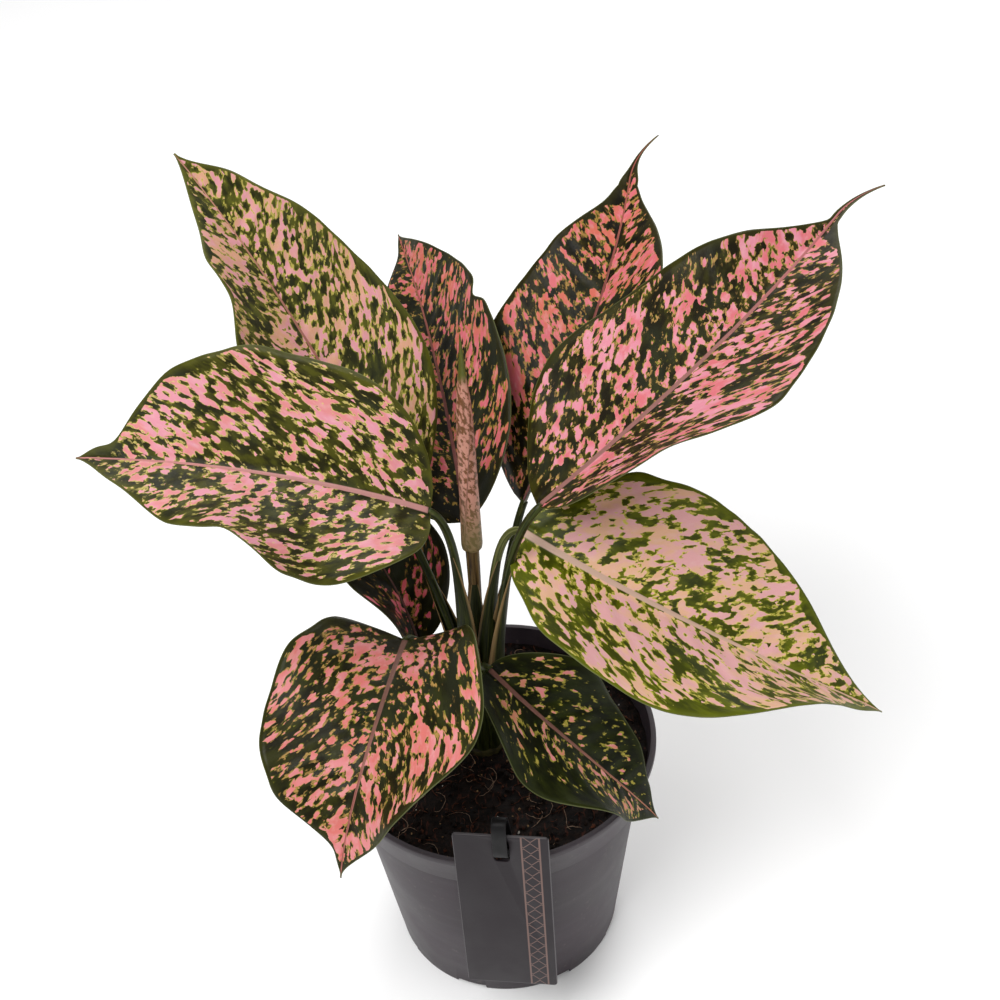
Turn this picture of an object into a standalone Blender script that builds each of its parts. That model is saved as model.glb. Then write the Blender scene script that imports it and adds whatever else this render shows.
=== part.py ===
"""A chinese evergreen growing in a black plastic nursery pot, with a blank name card hung on the rim.

The pot stands on z = 0 with its axis on the Z axis, and its front, where the card hangs, faces -Y.
Lengths below are in millimetres and angles in degrees, and `mm` gives Blender its metres.
"""

import math
from typing import NamedTuple

import bmesh
import bpy
from mathutils import Matrix, Vector

GAP = 0.3  # between pieces that touch
BLADE_GAP = 0.6  # between a stalk and its blade

POT_HEIGHT = 98.0
RIM_RADIUS = 60.0
COLLAR_HEIGHT = 14.0
COLLAR_FLARE = 2.5
COLLAR_STEP = 3.2
FOOT_RADIUS = 43.5
POT_WALL = 1.6
FLOOR_TOP = 4.5
FLOOR_RAISE = 2.5
FOOT_RING = 3.0
CENTRE_FOOT_RADIUS = 14.0
POT_STEPS = 48
DRAIN_HOLES = 8
DRAIN_RADIUS = 3.5
DRAIN_CIRCLE = 30.0
FOOT_NOTCHES = 8
NOTCH_WIDTH = 12.0
NOTCH_HEIGHT = 2.4

SOIL_TOP = 93.0
SOIL_DOME = 1.5
SOIL_STEPS = 48

CROWN = Vector((-4.0, 4.5, 95.0))
STEM_RADIUS = 9.5
STEM_DEPTH = 18.0
RING_RADIUS = 7.0
STALK_FOOT_RADIUS = 1.8
STALK_TOP_RADIUS = 1.4
STALK_RISE = 0.45

BLADE_THICKNESS = 0.9
BLADE_ROWS = 20
BLADE_COLUMNS = 4
EDGE_HALF_WIDTH = 0.7
DRIP_HALF_WIDTH = 1.7
SHOULDER = 0.55
CURL = 4.0
WAVES_PER_LEAF = 2.0
LOBE_REACH = 0.16

NEW_LEAF_FOOT = Vector((-2.0, 8.0, 183.0))
NEW_LEAF_TIP = Vector((0.0, 10.0, 269.5))
NEW_LEAF_RADIUS = 3.6
# The rolled leaf from tip to foot, as (share of its length, share of its radius).
NEW_LEAF_PROFILE = (
    (1.0, 0.0), (0.995, 0.12), (0.92, 0.32), (0.85, 0.44), (0.8, 0.66), (0.68, 0.84),
    (0.5, 0.9), (0.25, 1.0), (0.04, 1.1), (0.0, 1.0), (0.0, 0.0),
)
NEW_STALK_RADIUS = 2.5

CARD_TURN = -9.5
CARD_SHIFT = 10.2
CARD_WIDTH = 33.0
CARD_HEIGHT = 83.5
CARD_THICKNESS = 0.8
CARD_TOP = 115.0
CARD_CORNER = 1.5
SLOT_WIDTH = 5.6
SLOT_HEIGHT = 11.5
SLOT_DROP = 2.0
STRAP_WIDTH = 5.0
STRAP_THICKNESS = 1.0
# The strap's middle line, as (distance in front of the pot's axis, height).
# It rises out of the soil, bends over the card and ends in its slot.
STRAP_PATH = (
    (47.0, 62.0), (49.0, 84.0), (50.5, 100.0), (55.5, 116.0), (58.6, 121.0), (61.2, 121.6),
    (62.8, 119.0), (62.9, 112.0), (62.4, 106.5), (60.6, 104.2), (57.8, 103.6),
)


class Leaf(NamedTuple):
    """One leaf. Pairs are (at the base, at the tip), or (left half, right half) seen from above."""

    name: str
    base: tuple  # where the blade meets its stalk
    length: float
    width: float
    heading: tuple  # of the midrib, anticlockwise from +X
    rise: tuple  # of the midrib above level
    roll: tuple  # of the blade about its midrib
    fold: tuple  # of each half up from flat
    wave: tuple  # height of each edge's wave
    phase: tuple  # of each edge's wave
    widest: float  # share of the length from the base
    slot: float  # where the stalk leaves the crown, anticlockwise from +X
    reach: float = 14.0  # how far the stalk runs straight before the blade
    lobe: float = 1.0  # how far the edges sweep back past the base
    taper: float = 1.3
    drip: float = 0.0  # share of the length that is a thin drip tip
    hook: float = 0.0  # turn of the drip tip


LEAVES = (
    Leaf("high_left", (-27, 28, 185), 144, 79, (132, 150), (60, 51), (6, 3), (15, 12),
         (3, 2), (-35, -125), 0.43, slot=121, reach=20),
    Leaf("left", (-14, -12, 217), 112, 90, (185, 190), (30, 14), (-20, 0), (9, 18),
         (5, 2), (23, -34), 0.50, slot=230, lobe=2),
    Leaf("back", (-4, 31, 176), 145, 71, (95, 102), (28, 5), (-23, -42), (4, 20),
         (3, 2.5), (0, 109), 0.42, slot=88),
    Leaf("back_right", (17, 38, 177), 157, 76, (46, 82), (50, 16), (-32, 7), (17, 22),
         (2.5, 1), (-97, 34), 0.41, slot=43, lobe=0, drip=0.16, hook=-47),
    Leaf("high_right", (21, -10, 214), 174, 83, (26, 54), (25, 10), (-9, 19), (10, 19),
         (4.5, 3.5), (-52, -34), 0.40, slot=360, reach=17, lobe=0, drip=0.13, hook=-44),
    Leaf("right", (15, 1, 195), 140, 84, (-37, 1), (-14, -36), (26, -15), (20, 12),
         (2, 5), (-103, -69), 0.43, slot=298, reach=16, lobe=0),
    Leaf("front_left", (-27, -15, 164), 92, 76, (261, 237), (20, -72), (7, 20), (7, 28),
         (5.5, 4), (-40, -57), 0.46, slot=193, lobe=9, taper=1.7),
    Leaf("front_right", (0, -22, 155), 87, 50, (-40, 4), (-31, -59), (0, 4), (20, 2),
         (2, 4.5), (-109, -6), 0.41, slot=266, reach=8),
    Leaf("low_left", (-25, 13, 135), 84, 48, (125, 146), (72, 0), (10, 5), (28, 14),
         (5.5, 1.5), (-40, -178), 0.43, slot=159, lobe=2),
)

# Colour, roughness and metallic value of each kind of material.
PAINTS = {
    "pot_plastic": ((0.095, 0.085, 0.095), 0.55, 0.0),
    "peat": ((0.03, 0.018, 0.012), 0.95, 0.0),
    "stem_skin": ((0.09, 0.10, 0.03), 0.5, 0.0),
    "stalk_skin": ((0.05, 0.075, 0.025), 0.4, 0.0),
    "blade": ((0.32, 0.16, 0.12), 0.38, 0.0),
    "young_blade": ((0.38, 0.26, 0.16), 0.4, 0.0),
    "card": ((0.06, 0.06, 0.065), 0.6, 0.0),
    "strap_plastic": ((0.02, 0.02, 0.022), 0.5, 0.0),
}


def mm(value):
    """Millimetres to metres, for a number or a vector."""
    return value * 0.001


def clear_scene():
    for obj in list(bpy.data.objects):
        bpy.data.objects.remove(obj, do_unlink=True)


def new_collection(name, render=True):
    collection = bpy.data.collections.new(name)
    collection.hide_render = not render
    bpy.context.scene.collection.children.link(collection)
    return collection


def paint(name):
    """The material of this name, made once."""
    material = bpy.data.materials.get(name)
    if material is None:
        colour, roughness, metallic = PAINTS[name]
        material = bpy.data.materials.new(name)
        material.use_nodes = True
        shader = material.node_tree.nodes["Principled BSDF"]
        shader.inputs["Base Color"].default_value = (*colour, 1.0)
        shader.inputs["Roughness"].default_value = roughness
        shader.inputs["Metallic"].default_value = metallic
    return material


def mesh_object(name, points, faces, collection, material=None):
    """An object with these points, in millimetres, and faces."""
    mesh = bpy.data.meshes.new(name)
    mesh.from_pydata([mm(Vector(point)) for point in points], [], faces)
    obj = bpy.data.objects.new(name, mesh)
    collection.objects.link(obj)
    if material:
        mesh.materials.append(paint(material))
    return obj


def lathe(name, profile, collection, material, steps):
    """Turns a profile of (radius, height) about Z. Its outer side runs from top to bottom."""
    edges_only = bpy.data.meshes.new(name)
    points = [(mm(radius), 0.0, mm(height)) for radius, height in profile]
    edges_only.from_pydata(points, [(i, i + 1) for i in range(len(points) - 1)], [])
    obj = bpy.data.objects.new(name, edges_only)
    collection.objects.link(obj)
    edges_only.materials.append(paint(material))
    screw = obj.modifiers.new("turn", "SCREW")
    screw.steps = screw.render_steps = steps
    screw.use_merge_vertices = True
    screw.merge_threshold = 0.00001
    screw.use_smooth_shade = False
    return obj


def cut(obj, cutter):
    boolean = obj.modifiers.new("cut " + cutter.name, "BOOLEAN")
    boolean.operation = "DIFFERENCE"
    boolean.solver = "EXACT"
    boolean.object = cutter


def solidify(obj, thickness):
    shell = obj.modifiers.new("thickness", "SOLIDIFY")
    shell.thickness = mm(thickness)
    shell.offset = 0.0


def cutter_mesh(name, build, cutters):
    """A cutter whose bmesh is made by `build`, in millimetres."""
    shape = bmesh.new()
    build(shape)
    bmesh.ops.scale(shape, vec=Vector((0.001, 0.001, 0.001)), verts=shape.verts)
    bmesh.ops.recalc_face_normals(shape, faces=shape.faces)
    mesh = bpy.data.meshes.new(name)
    shape.to_mesh(mesh)
    shape.free()
    obj = bpy.data.objects.new(name, mesh)
    obj.hide_render = True
    obj.display_type = "WIRE"
    cutters.objects.link(obj)
    return obj


def add_cylinder(shape, centre, radius, height, sides=16):
    """Adds an upright cylinder that starts at `centre`."""
    made = bmesh.ops.create_cone(
        shape, cap_ends=True, segments=sides, radius1=radius, radius2=radius, depth=height
    )
    lift = Vector((0.0, 0.0, height / 2))
    bmesh.ops.translate(shape, vec=Vector(centre) + lift, verts=made["verts"])


def add_box(shape, centre, size):
    made = bmesh.ops.create_cube(shape, size=1.0)
    bmesh.ops.scale(shape, vec=size, verts=made["verts"])
    bmesh.ops.translate(shape, vec=centre, verts=made["verts"])
    return made["verts"]


def angles_around(count, start=0.0):
    """Angles evenly round the Z axis, in radians, from `start` in degrees."""
    return [math.radians(start) + math.tau * i / count for i in range(count)]


def pot_wall_radius(height):
    """The wall's outer radius below the collar."""
    collar_foot = POT_HEIGHT - COLLAR_HEIGHT
    wall_top = RIM_RADIUS - COLLAR_FLARE - COLLAR_STEP
    return FOOT_RADIUS + (wall_top - FOOT_RADIUS) * height / collar_foot


def make_pot(parts, cutters):
    collar_foot = POT_HEIGHT - COLLAR_HEIGHT
    collar_radius = RIM_RADIUS - COLLAR_FLARE
    lip = 0.6
    profile = (
        (RIM_RADIUS - lip, POT_HEIGHT),
        (RIM_RADIUS, POT_HEIGHT - lip),
        (RIM_RADIUS, POT_HEIGHT - 4 * lip),
        (collar_radius, collar_foot + lip),
        (collar_radius - lip, collar_foot),
        (pot_wall_radius(collar_foot), collar_foot),
        (pot_wall_radius(lip), lip),
        (FOOT_RADIUS - lip, 0.0),
        (FOOT_RADIUS - FOOT_RING, 0.0),
        (FOOT_RADIUS - FOOT_RING, FLOOR_RAISE),
        (CENTRE_FOOT_RADIUS, FLOOR_RAISE),
        (CENTRE_FOOT_RADIUS, 0.0),
        (0.0, 0.0),
        (0.0, FLOOR_TOP),
        (pot_wall_radius(FLOOR_TOP) - POT_WALL, FLOOR_TOP),
        (pot_wall_radius(collar_foot) - POT_WALL, collar_foot),
        (collar_radius - POT_WALL, collar_foot + 2 * lip),
        (RIM_RADIUS - POT_WALL - lip, POT_HEIGHT - lip),
        (RIM_RADIUS - POT_WALL, POT_HEIGHT),
        (RIM_RADIUS - lip, POT_HEIGHT),
    )
    pot = lathe("pot", profile, parts, "pot_plastic", POT_STEPS)

    def drains(shape):
        for angle in angles_around(DRAIN_HOLES):
            centre = (DRAIN_CIRCLE * math.cos(angle), DRAIN_CIRCLE * math.sin(angle), 0.0)
            add_cylinder(shape, centre, DRAIN_RADIUS, 2 * FLOOR_TOP)

    def notches(shape):
        """Low gaps in the foot ring, through which water runs out."""
        for angle in angles_around(FOOT_NOTCHES, start=180 / FOOT_NOTCHES):
            size = (4 * FOOT_RING, NOTCH_WIDTH, 2 * NOTCH_HEIGHT)
            corners = add_box(shape, (FOOT_RADIUS, 0.0, 0.0), size)
            turn = Matrix.Rotation(angle, 3, "Z")
            bmesh.ops.rotate(shape, cent=(0.0, 0.0, 0.0), matrix=turn, verts=corners)

    cut(pot, cutter_mesh("drain_cutter", drains, cutters))
    cut(pot, cutter_mesh("notch_cutter", notches, cutters))


def make_soil(parts, cutters):
    foot = FLOOR_TOP + GAP
    clearance = POT_WALL + GAP
    collar_foot = POT_HEIGHT - COLLAR_HEIGHT
    collar_radius = RIM_RADIUS - COLLAR_FLARE
    edge = SOIL_TOP - SOIL_DOME
    profile = (
        (0.0, SOIL_TOP),
        (24.0, SOIL_TOP),
        (44.0, SOIL_TOP - 0.4 * SOIL_DOME),
        (collar_radius - clearance, edge),
        (collar_radius - clearance, collar_foot + 2.4),
        (pot_wall_radius(collar_foot) - clearance, collar_foot),
        (pot_wall_radius(foot) - clearance, foot),
        (0.0, foot),
    )
    soil = lathe("soil", profile, parts, "peat", SOIL_STEPS)

    def stem_pocket(shape):
        floor = Vector((CROWN.x, CROWN.y, CROWN.z - STEM_DEPTH - GAP))
        add_cylinder(shape, floor, STEM_RADIUS + GAP, 2 * STEM_DEPTH, sides=24)

    def strap_pocket(shape):
        """Room for the foot of the strap, which leans outward as it rises."""
        (foot_ahead, foot_height), (soil_ahead, _) = STRAP_PATH[:2]
        size = (
            STRAP_WIDTH + 2 * GAP,
            soil_ahead - foot_ahead + 5 * STRAP_THICKNESS,
            2 * (SOIL_TOP - foot_height + 2 * GAP),
        )
        add_box(shape, (CARD_SHIFT, -(foot_ahead + soil_ahead) / 2, SOIL_TOP), size)
        turn_about_axis(shape)

    cut(soil, cutter_mesh("stem_pocket", stem_pocket, cutters))
    cut(soil, cutter_mesh("strap_pocket", strap_pocket, cutters))


def turn_about_axis(shape):
    """Turns everything in a bmesh about Z to where the card hangs."""
    turn = Matrix.Rotation(math.radians(CARD_TURN), 3, "Z")
    bmesh.ops.rotate(shape, cent=(0.0, 0.0, 0.0), matrix=turn, verts=shape.verts)


def card_frame(across, ahead, height):
    """A point `across` the card and `ahead` of the pot's axis, as seen from where the card hangs."""
    turn = math.radians(CARD_TURN)
    return Vector((
        across * math.cos(turn) + ahead * math.sin(turn),
        across * math.sin(turn) - ahead * math.cos(turn),
        height,
    ))


def make_stem(parts):
    foot = CROWN.z - STEM_DEPTH
    profile = (
        (0.0, CROWN.z),
        (STEM_RADIUS - 1.0, CROWN.z),
        (STEM_RADIUS, CROWN.z - 1.0),
        (STEM_RADIUS, foot + 4.0),
        (STEM_RADIUS - 2.5, foot),
        (0.0, foot),
    )
    stem = lathe("stem", profile, parts, "stem_skin", 24)
    stem.location = mm(Vector((CROWN.x, CROWN.y, 0.0)))


def blend(pair, share):
    return pair[0] + (pair[1] - pair[0]) * share


def midrib_direction(leaf, share):
    """(heading, direction) of the midrib at this share of its length."""
    heading = blend(leaf.heading, share)
    if leaf.drip:
        heading += leaf.hook * max(0.0, (share - 1 + leaf.drip) / leaf.drip)
    heading = math.radians(heading)
    rise = math.radians(blend(leaf.rise, share))
    level = math.cos(rise)
    return heading, Vector((level * math.cos(heading), level * math.sin(heading), math.sin(rise)))


def midrib_frames(leaf, rows):
    """(share, point, direction, side, normal) down the midrib; side points to the leaf's left."""
    point = Vector(leaf.base)
    frames = []
    for row in range(rows + 1):
        share = row / rows
        if row:
            _, step = midrib_direction(leaf, share - 0.5 / rows)
            point = point + step * (leaf.length / rows)
        heading, direction = midrib_direction(leaf, share)
        level_side = Vector((-math.sin(heading), math.cos(heading), 0.0))
        level_normal = direction.cross(level_side)
        roll = math.radians(blend(leaf.roll, share))
        side = level_side * math.cos(roll) + level_normal * math.sin(roll)
        normal = level_normal * math.cos(roll) - level_side * math.sin(roll)
        frames.append((share, point, direction, side, normal))
    return frames


def half_width(leaf, share):
    """Half of the blade's width at this share of its length, with a drip tip that narrows to a point."""
    inner = min(1.0, share / (1 - leaf.drip))
    if inner < leaf.widest:
        part = (1 - (1 - inner / leaf.widest) ** 2) ** SHOULDER
    else:
        part = max(0.0, 1 - ((inner - leaf.widest) / (1 - leaf.widest)) ** 2) ** leaf.taper
    thinnest = EDGE_HALF_WIDTH
    if leaf.drip:
        thinnest += (DRIP_HALF_WIDTH - EDGE_HALF_WIDTH) * min(1.0, (1 - share) / leaf.drip)
    return max(thinnest, part * leaf.width / 2)


def across_blade(leaf, half, columns):
    """[(out, up)] from midrib to edge for a half blade one unit wide, folded up and slightly curled."""
    out, up = 0.0, 0.0
    steps = [(out, up)]
    for column in range(columns):
        angle = math.radians(leaf.fold[half] + CURL * (column + 0.5) / columns)
        out += math.cos(angle) / columns
        up += math.sin(angle) / columns
        steps.append((out, up))
    return steps


def blade_rows(leaf, rows, columns):
    """The blade's middle surface, as rows of points from left edge to right edge."""
    surface = []
    for share, point, direction, side, normal in midrib_frames(leaf, rows):
        width = half_width(leaf, share)
        fullness = min(1.0, 3.2 * width / leaf.width)
        sweep = leaf.lobe * fullness * math.exp(-((share / LOBE_REACH) ** 1.5))
        row = []
        for half, sign in ((0, 1.0), (1, -1.0)):
            wave = math.tau * WAVES_PER_LEAF * share + math.radians(leaf.phase[half])
            lift = leaf.wave[half] * fullness * math.sin(wave)
            half_row = []
            for column, (out, up) in enumerate(across_blade(leaf, half, columns)):
                edge = column / columns
                half_row.append(
                    point
                    + side * (sign * out * width)
                    + normal * (up * width + lift * edge**2)
                    - direction * (sweep * edge**1.5)
                )
            row.append(half_row)
        surface.append(row[0][:0:-1] + row[1])
    return surface


def make_blade(leaf, parts):
    surface = blade_rows(leaf, BLADE_ROWS, BLADE_COLUMNS)
    per_row = len(surface[0])
    faces = []
    for row in range(BLADE_ROWS):
        for column in range(per_row - 1):
            corner = row * per_row + column
            faces.append((corner, corner + 1, corner + per_row + 1, corner + per_row))
    points = [point for row in surface for point in row]
    blade = mesh_object("leaf_" + leaf.name, points, faces, parts, "blade")
    solidify(blade, BLADE_THICKNESS)


def make_tube(name, points, handles, radii, parts, material):
    """A stalk from the first point to the second, which leaves and arrives along its handles."""
    curve = bpy.data.curves.new(name, "CURVE")
    curve.dimensions = "3D"
    curve.resolution_u = 9
    curve.bevel_depth = mm(1.0)
    curve.bevel_resolution = 1
    curve.use_fill_caps = True
    spline = curve.splines.new("BEZIER")
    spline.bezier_points.add(1)
    for knot, point, handle, radius in zip(spline.bezier_points, points, handles, radii):
        knot.co = mm(point)
        knot.handle_left = mm(2 * point - handle)
        knot.handle_right = mm(handle)
        knot.radius = radius
    arrival = spline.bezier_points[1]
    arrival.handle_left, arrival.handle_right = arrival.handle_right.copy(), arrival.handle_left.copy()
    curve.materials.append(paint(material))
    parts.objects.link(bpy.data.objects.new(name, curve))


def make_stalk(leaf, parts):
    slot = math.radians(leaf.slot)
    foot = CROWN + Vector((math.cos(slot), math.sin(slot), 0.0)) * RING_RADIUS
    foot.z += GAP
    _, direction = midrib_direction(leaf, 0.0)
    top = Vector(leaf.base) - direction * BLADE_GAP
    upward = Vector((0.0, 0.0, STALK_RISE * (top.z - foot.z)))
    make_tube(
        "stalk_" + leaf.name,
        (foot, top),
        (foot + upward, top - direction * leaf.reach),
        (STALK_FOOT_RADIUS, STALK_TOP_RADIUS),
        parts,
        "stalk_skin",
    )


def make_new_leaf(parts):
    """The youngest leaf, still rolled into a spindle on its own stalk."""
    axis = NEW_LEAF_TIP - NEW_LEAF_FOOT
    length = axis.length
    profile = [(NEW_LEAF_RADIUS * width, length * share) for share, width in NEW_LEAF_PROFILE]
    spindle = lathe("new_leaf", profile, parts, "young_blade", 16)
    spindle.location = mm(NEW_LEAF_FOOT)
    spindle.rotation_euler = axis.to_track_quat("Z", "X").to_euler()
    foot = CROWN + Vector((0.0, 0.0, GAP))
    top = NEW_LEAF_FOOT - axis.normalized() * GAP
    third = (top.z - foot.z) / 3
    make_tube(
        "stalk_new_leaf",
        (foot, top),
        (foot + Vector((0.0, 0.0, third)), top - axis.normalized() * third),
        (NEW_STALK_RADIUS, NEW_STALK_RADIUS),
        parts,
        "stalk_skin",
    )


def make_card(parts, cutters):
    """The card leans against the rim and hangs from the strap through its slot."""
    ahead = RIM_RADIUS + GAP + CARD_THICKNESS / 2
    left = CARD_SHIFT - CARD_WIDTH / 2
    right = CARD_SHIFT + CARD_WIDTH / 2
    bottom = CARD_TOP - CARD_HEIGHT
    corners = []
    for across, height, turn in (
        (right, CARD_TOP, 0), (left, CARD_TOP, 90), (left, bottom, 180), (right, bottom, 270)
    ):
        inward_x = CARD_CORNER if across == left else -CARD_CORNER
        inward_z = CARD_CORNER if height == bottom else -CARD_CORNER
        for step in range(4):
            angle = math.radians(turn + 30 * step)
            corners.append(card_frame(
                across + inward_x + CARD_CORNER * math.cos(angle),
                ahead,
                height + inward_z + CARD_CORNER * math.sin(angle),
            ))
    card = mesh_object("label_card", corners, [tuple(range(len(corners)))], parts, "card")
    solidify(card, CARD_THICKNESS)

    def slot(shape):
        middle = (CARD_SHIFT, -ahead, CARD_TOP - SLOT_DROP - SLOT_HEIGHT / 2)
        add_box(shape, middle, (SLOT_WIDTH, 8 * CARD_THICKNESS, SLOT_HEIGHT))
        through = [edge for edge in shape.edges if edge.verts[0].co.xz == edge.verts[1].co.xz]
        bmesh.ops.bevel(shape, geom=through, offset=CARD_CORNER, segments=3, affect="EDGES")
        turn_about_axis(shape)

    cut(card, cutter_mesh("slot_cutter", slot, cutters))


def make_strap(parts):
    points = []
    for ahead, height in STRAP_PATH:
        for across in (CARD_SHIFT - STRAP_WIDTH / 2, CARD_SHIFT + STRAP_WIDTH / 2):
            points.append(card_frame(across, ahead, height))
    faces = [(2 * i, 2 * i + 1, 2 * i + 3, 2 * i + 2) for i in range(len(STRAP_PATH) - 1)]
    strap = mesh_object("label_strap", points, faces, parts, "strap_plastic")
    solidify(strap, STRAP_THICKNESS)


def main():
    clear_scene()
    parts = new_collection("potted_chinese_evergreen")
    cutters = new_collection("cutters", render=False)
    make_pot(parts, cutters)
    make_soil(parts, cutters)
    make_stem(parts)
    for leaf in LEAVES:
        make_blade(leaf, parts)
        make_stalk(leaf, parts)
    make_new_leaf(parts)
    make_card(parts, cutters)
    make_strap(parts)


main()
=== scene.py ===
"""The look of a potted chinese evergreen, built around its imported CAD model.

The frame's rule is kept: Z is up, the pot's foot is centred on the origin, and the front faces -Y.
Leaf and stalk dimensions are those of the CAD part, in millimetres and degrees, and `MM` gives metres.
"""

import itertools
import random
from math import cos, exp, hypot, pi, radians, sin, sqrt, tau
from typing import NamedTuple

import bmesh
import bpy
import numpy as np
from mathutils import Matrix, Quaternion, Vector, noise


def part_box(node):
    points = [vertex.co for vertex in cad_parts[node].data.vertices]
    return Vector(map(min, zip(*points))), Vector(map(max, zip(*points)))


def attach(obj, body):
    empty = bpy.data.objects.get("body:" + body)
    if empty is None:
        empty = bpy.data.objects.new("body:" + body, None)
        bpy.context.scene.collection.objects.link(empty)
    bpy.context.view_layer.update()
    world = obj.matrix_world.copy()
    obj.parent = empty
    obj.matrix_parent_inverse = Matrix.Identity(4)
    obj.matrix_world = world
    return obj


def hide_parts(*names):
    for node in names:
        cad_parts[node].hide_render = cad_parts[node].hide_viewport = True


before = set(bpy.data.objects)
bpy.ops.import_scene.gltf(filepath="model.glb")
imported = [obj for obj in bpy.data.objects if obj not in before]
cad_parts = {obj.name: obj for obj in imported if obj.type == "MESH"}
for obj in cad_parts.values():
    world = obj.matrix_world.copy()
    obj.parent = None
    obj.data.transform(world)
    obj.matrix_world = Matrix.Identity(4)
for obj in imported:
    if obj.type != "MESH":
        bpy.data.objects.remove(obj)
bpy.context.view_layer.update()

MM = 0.001
SEED = 7
UP = Vector((0.0, 0.0, 1.0))
AHEAD = Vector((0.0, -1.0, 0.0))
# Base colours are divided by this, because the lights are so much stronger to keep the floor white.
STUDIO_LIGHT = 1.5

# ---------------------------------------------------------------- sizes shared with the CAD part

RIM_RADIUS, _, POT_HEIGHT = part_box("pot")[1]
COLLAR_HEIGHT = 14.0 * MM
COLLAR_FLARE = 2.5 * MM
COLLAR_STEP = 3.2 * MM
FOOT_RADIUS = 43.5 * MM
POT_WALL = 1.6 * MM
FLOOR_TOP = 4.5 * MM
FLOOR_RAISE = 2.5 * MM
FOOT_RING = 3.0 * MM
CENTRE_FOOT_RADIUS = 14.0 * MM
DRAIN_HOLES = 8
DRAIN_RADIUS = 3.5 * MM
DRAIN_CIRCLE = 30.0 * MM
FOOT_NOTCHES = 8
NOTCH_WIDTH = 12.0 * MM
NOTCH_HEIGHT = 2.4 * MM
SOIL_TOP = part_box("soil")[1][2]

CROWN = Vector((-4.0, 4.5, 95.0)) * MM
STEM_RADIUS = 9.5 * MM
RING_RADIUS = 7.0 * MM
STALK_FOOT_RADIUS = 1.8 * MM
STALK_TOP_RADIUS = 1.4 * MM
STALK_RISE = 0.45
GAP = 0.3 * MM

# Blade outline and form: powers and shares of the length, degrees for the curl, millimetres for widths.
SHOULDER = 0.55
CURL = 4.0
WAVES_PER_LEAF = 2.0
LOBE_REACH = 0.16
EDGE_HALF_WIDTH = 0.7
DRIP_HALF_WIDTH = 1.7

NEW_LEAF_FOOT = Vector((-2.0, 8.0, 183.0)) * MM
NEW_LEAF_TIP = Vector((0.0, 10.0, 269.5)) * MM
NEW_LEAF_RADIUS = 3.6 * MM
NEW_STALK_RADIUS = 2.5 * MM

CARD_TURN = radians(-9.5)
CARD_SHIFT = 10.2 * MM
CARD_WIDTH = 33.0 * MM
CARD_HEIGHT = 83.5 * MM
CARD_THICKNESS = 0.8 * MM
CARD_TOP = 115.0 * MM
CARD_CORNER = 1.5 * MM
SLOT_WIDTH = 5.6 * MM
SLOT_HEIGHT = 11.5 * MM
SLOT_DROP = 2.0 * MM
STRAP_WIDTH = 5.0 * MM
STRAP_THICKNESS = 1.0 * MM
# The strap's middle line, as (distance in front of the pot's axis, height), in millimetres.
STRAP_PATH = (
    (47.0, 62.0), (49.0, 84.0), (50.5, 100.0), (55.5, 116.0), (58.6, 121.0), (61.2, 121.6),
    (62.8, 119.0), (62.9, 112.0), (62.4, 106.5), (60.6, 104.2), (57.8, 103.6),
)


class Leaf(NamedTuple):
    """One leaf, as in the CAD part. Pairs are (at the base, at the tip), or (left half, right half)."""

    name: str
    base: tuple
    length: float
    width: float
    heading: tuple  # base, tip: the midrib's compass angle from +X
    rise: tuple  # base, tip: its angle above level
    roll: tuple  # base, tip: the blade's turn about it
    fold: tuple  # left, right: how far the half is folded up
    wave: tuple  # left, right: height of the margin's waves
    phase: tuple  # left, right
    widest: float  # share of the length
    slot: float  # where on the stump the stalk starts, as a compass angle
    reach: float = 14.0  # how straight the stalk meets the blade
    lobe: float = 1.0  # how far the base reaches back beside the stalk
    taper: float = 1.3
    drip: float = 0.0  # share of the length that is a thin tip
    hook: float = 0.0  # how far that tip turns sideways


LEAVES = (
    Leaf("high_left", (-27, 28, 185), 144, 79, (132, 150), (60, 51), (6, 3), (15, 12),
         (3, 2), (-35, -125), 0.43, slot=121, reach=20),
    Leaf("left", (-14, -12, 217), 112, 90, (185, 190), (30, 14), (-20, 0), (9, 18),
         (5, 2), (23, -34), 0.50, slot=230, lobe=2),
    Leaf("back", (-4, 31, 176), 145, 71, (95, 102), (28, 5), (-23, -42), (4, 20),
         (3, 2.5), (0, 109), 0.42, slot=88),
    Leaf("back_right", (17, 38, 177), 157, 76, (46, 82), (50, 16), (-32, 7), (17, 22),
         (2.5, 1), (-97, 34), 0.41, slot=43, lobe=0, drip=0.16, hook=-47),
    Leaf("high_right", (21, -10, 214), 174, 83, (26, 54), (25, 10), (-9, 19), (10, 19),
         (4.5, 3.5), (-52, -34), 0.40, slot=360, reach=17, lobe=0, drip=0.13, hook=-44),
    Leaf("right", (15, 1, 195), 140, 84, (-37, 1), (-14, -36), (26, -15), (20, 12),
         (2, 5), (-103, -69), 0.43, slot=298, reach=16, lobe=0),
    Leaf("front_left", (-27, -15, 164), 92, 76, (261, 237), (20, -72), (7, 20), (7, 28),
         (5.5, 4), (-40, -57), 0.46, slot=193, lobe=9, taper=1.7),
    Leaf("front_right", (0, -22, 155), 87, 50, (-40, 4), (-31, -59), (0, 4), (20, 2),
         (2, 4.5), (-109, -6), 0.41, slot=266, reach=8),
    Leaf("low_left", (-25, 13, 135), 84, 48, (125, 146), (72, 0), (10, 5), (28, 14),
         (5.5, 1.5), (-40, -178), 0.43, slot=159, lobe=2),
)


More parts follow.
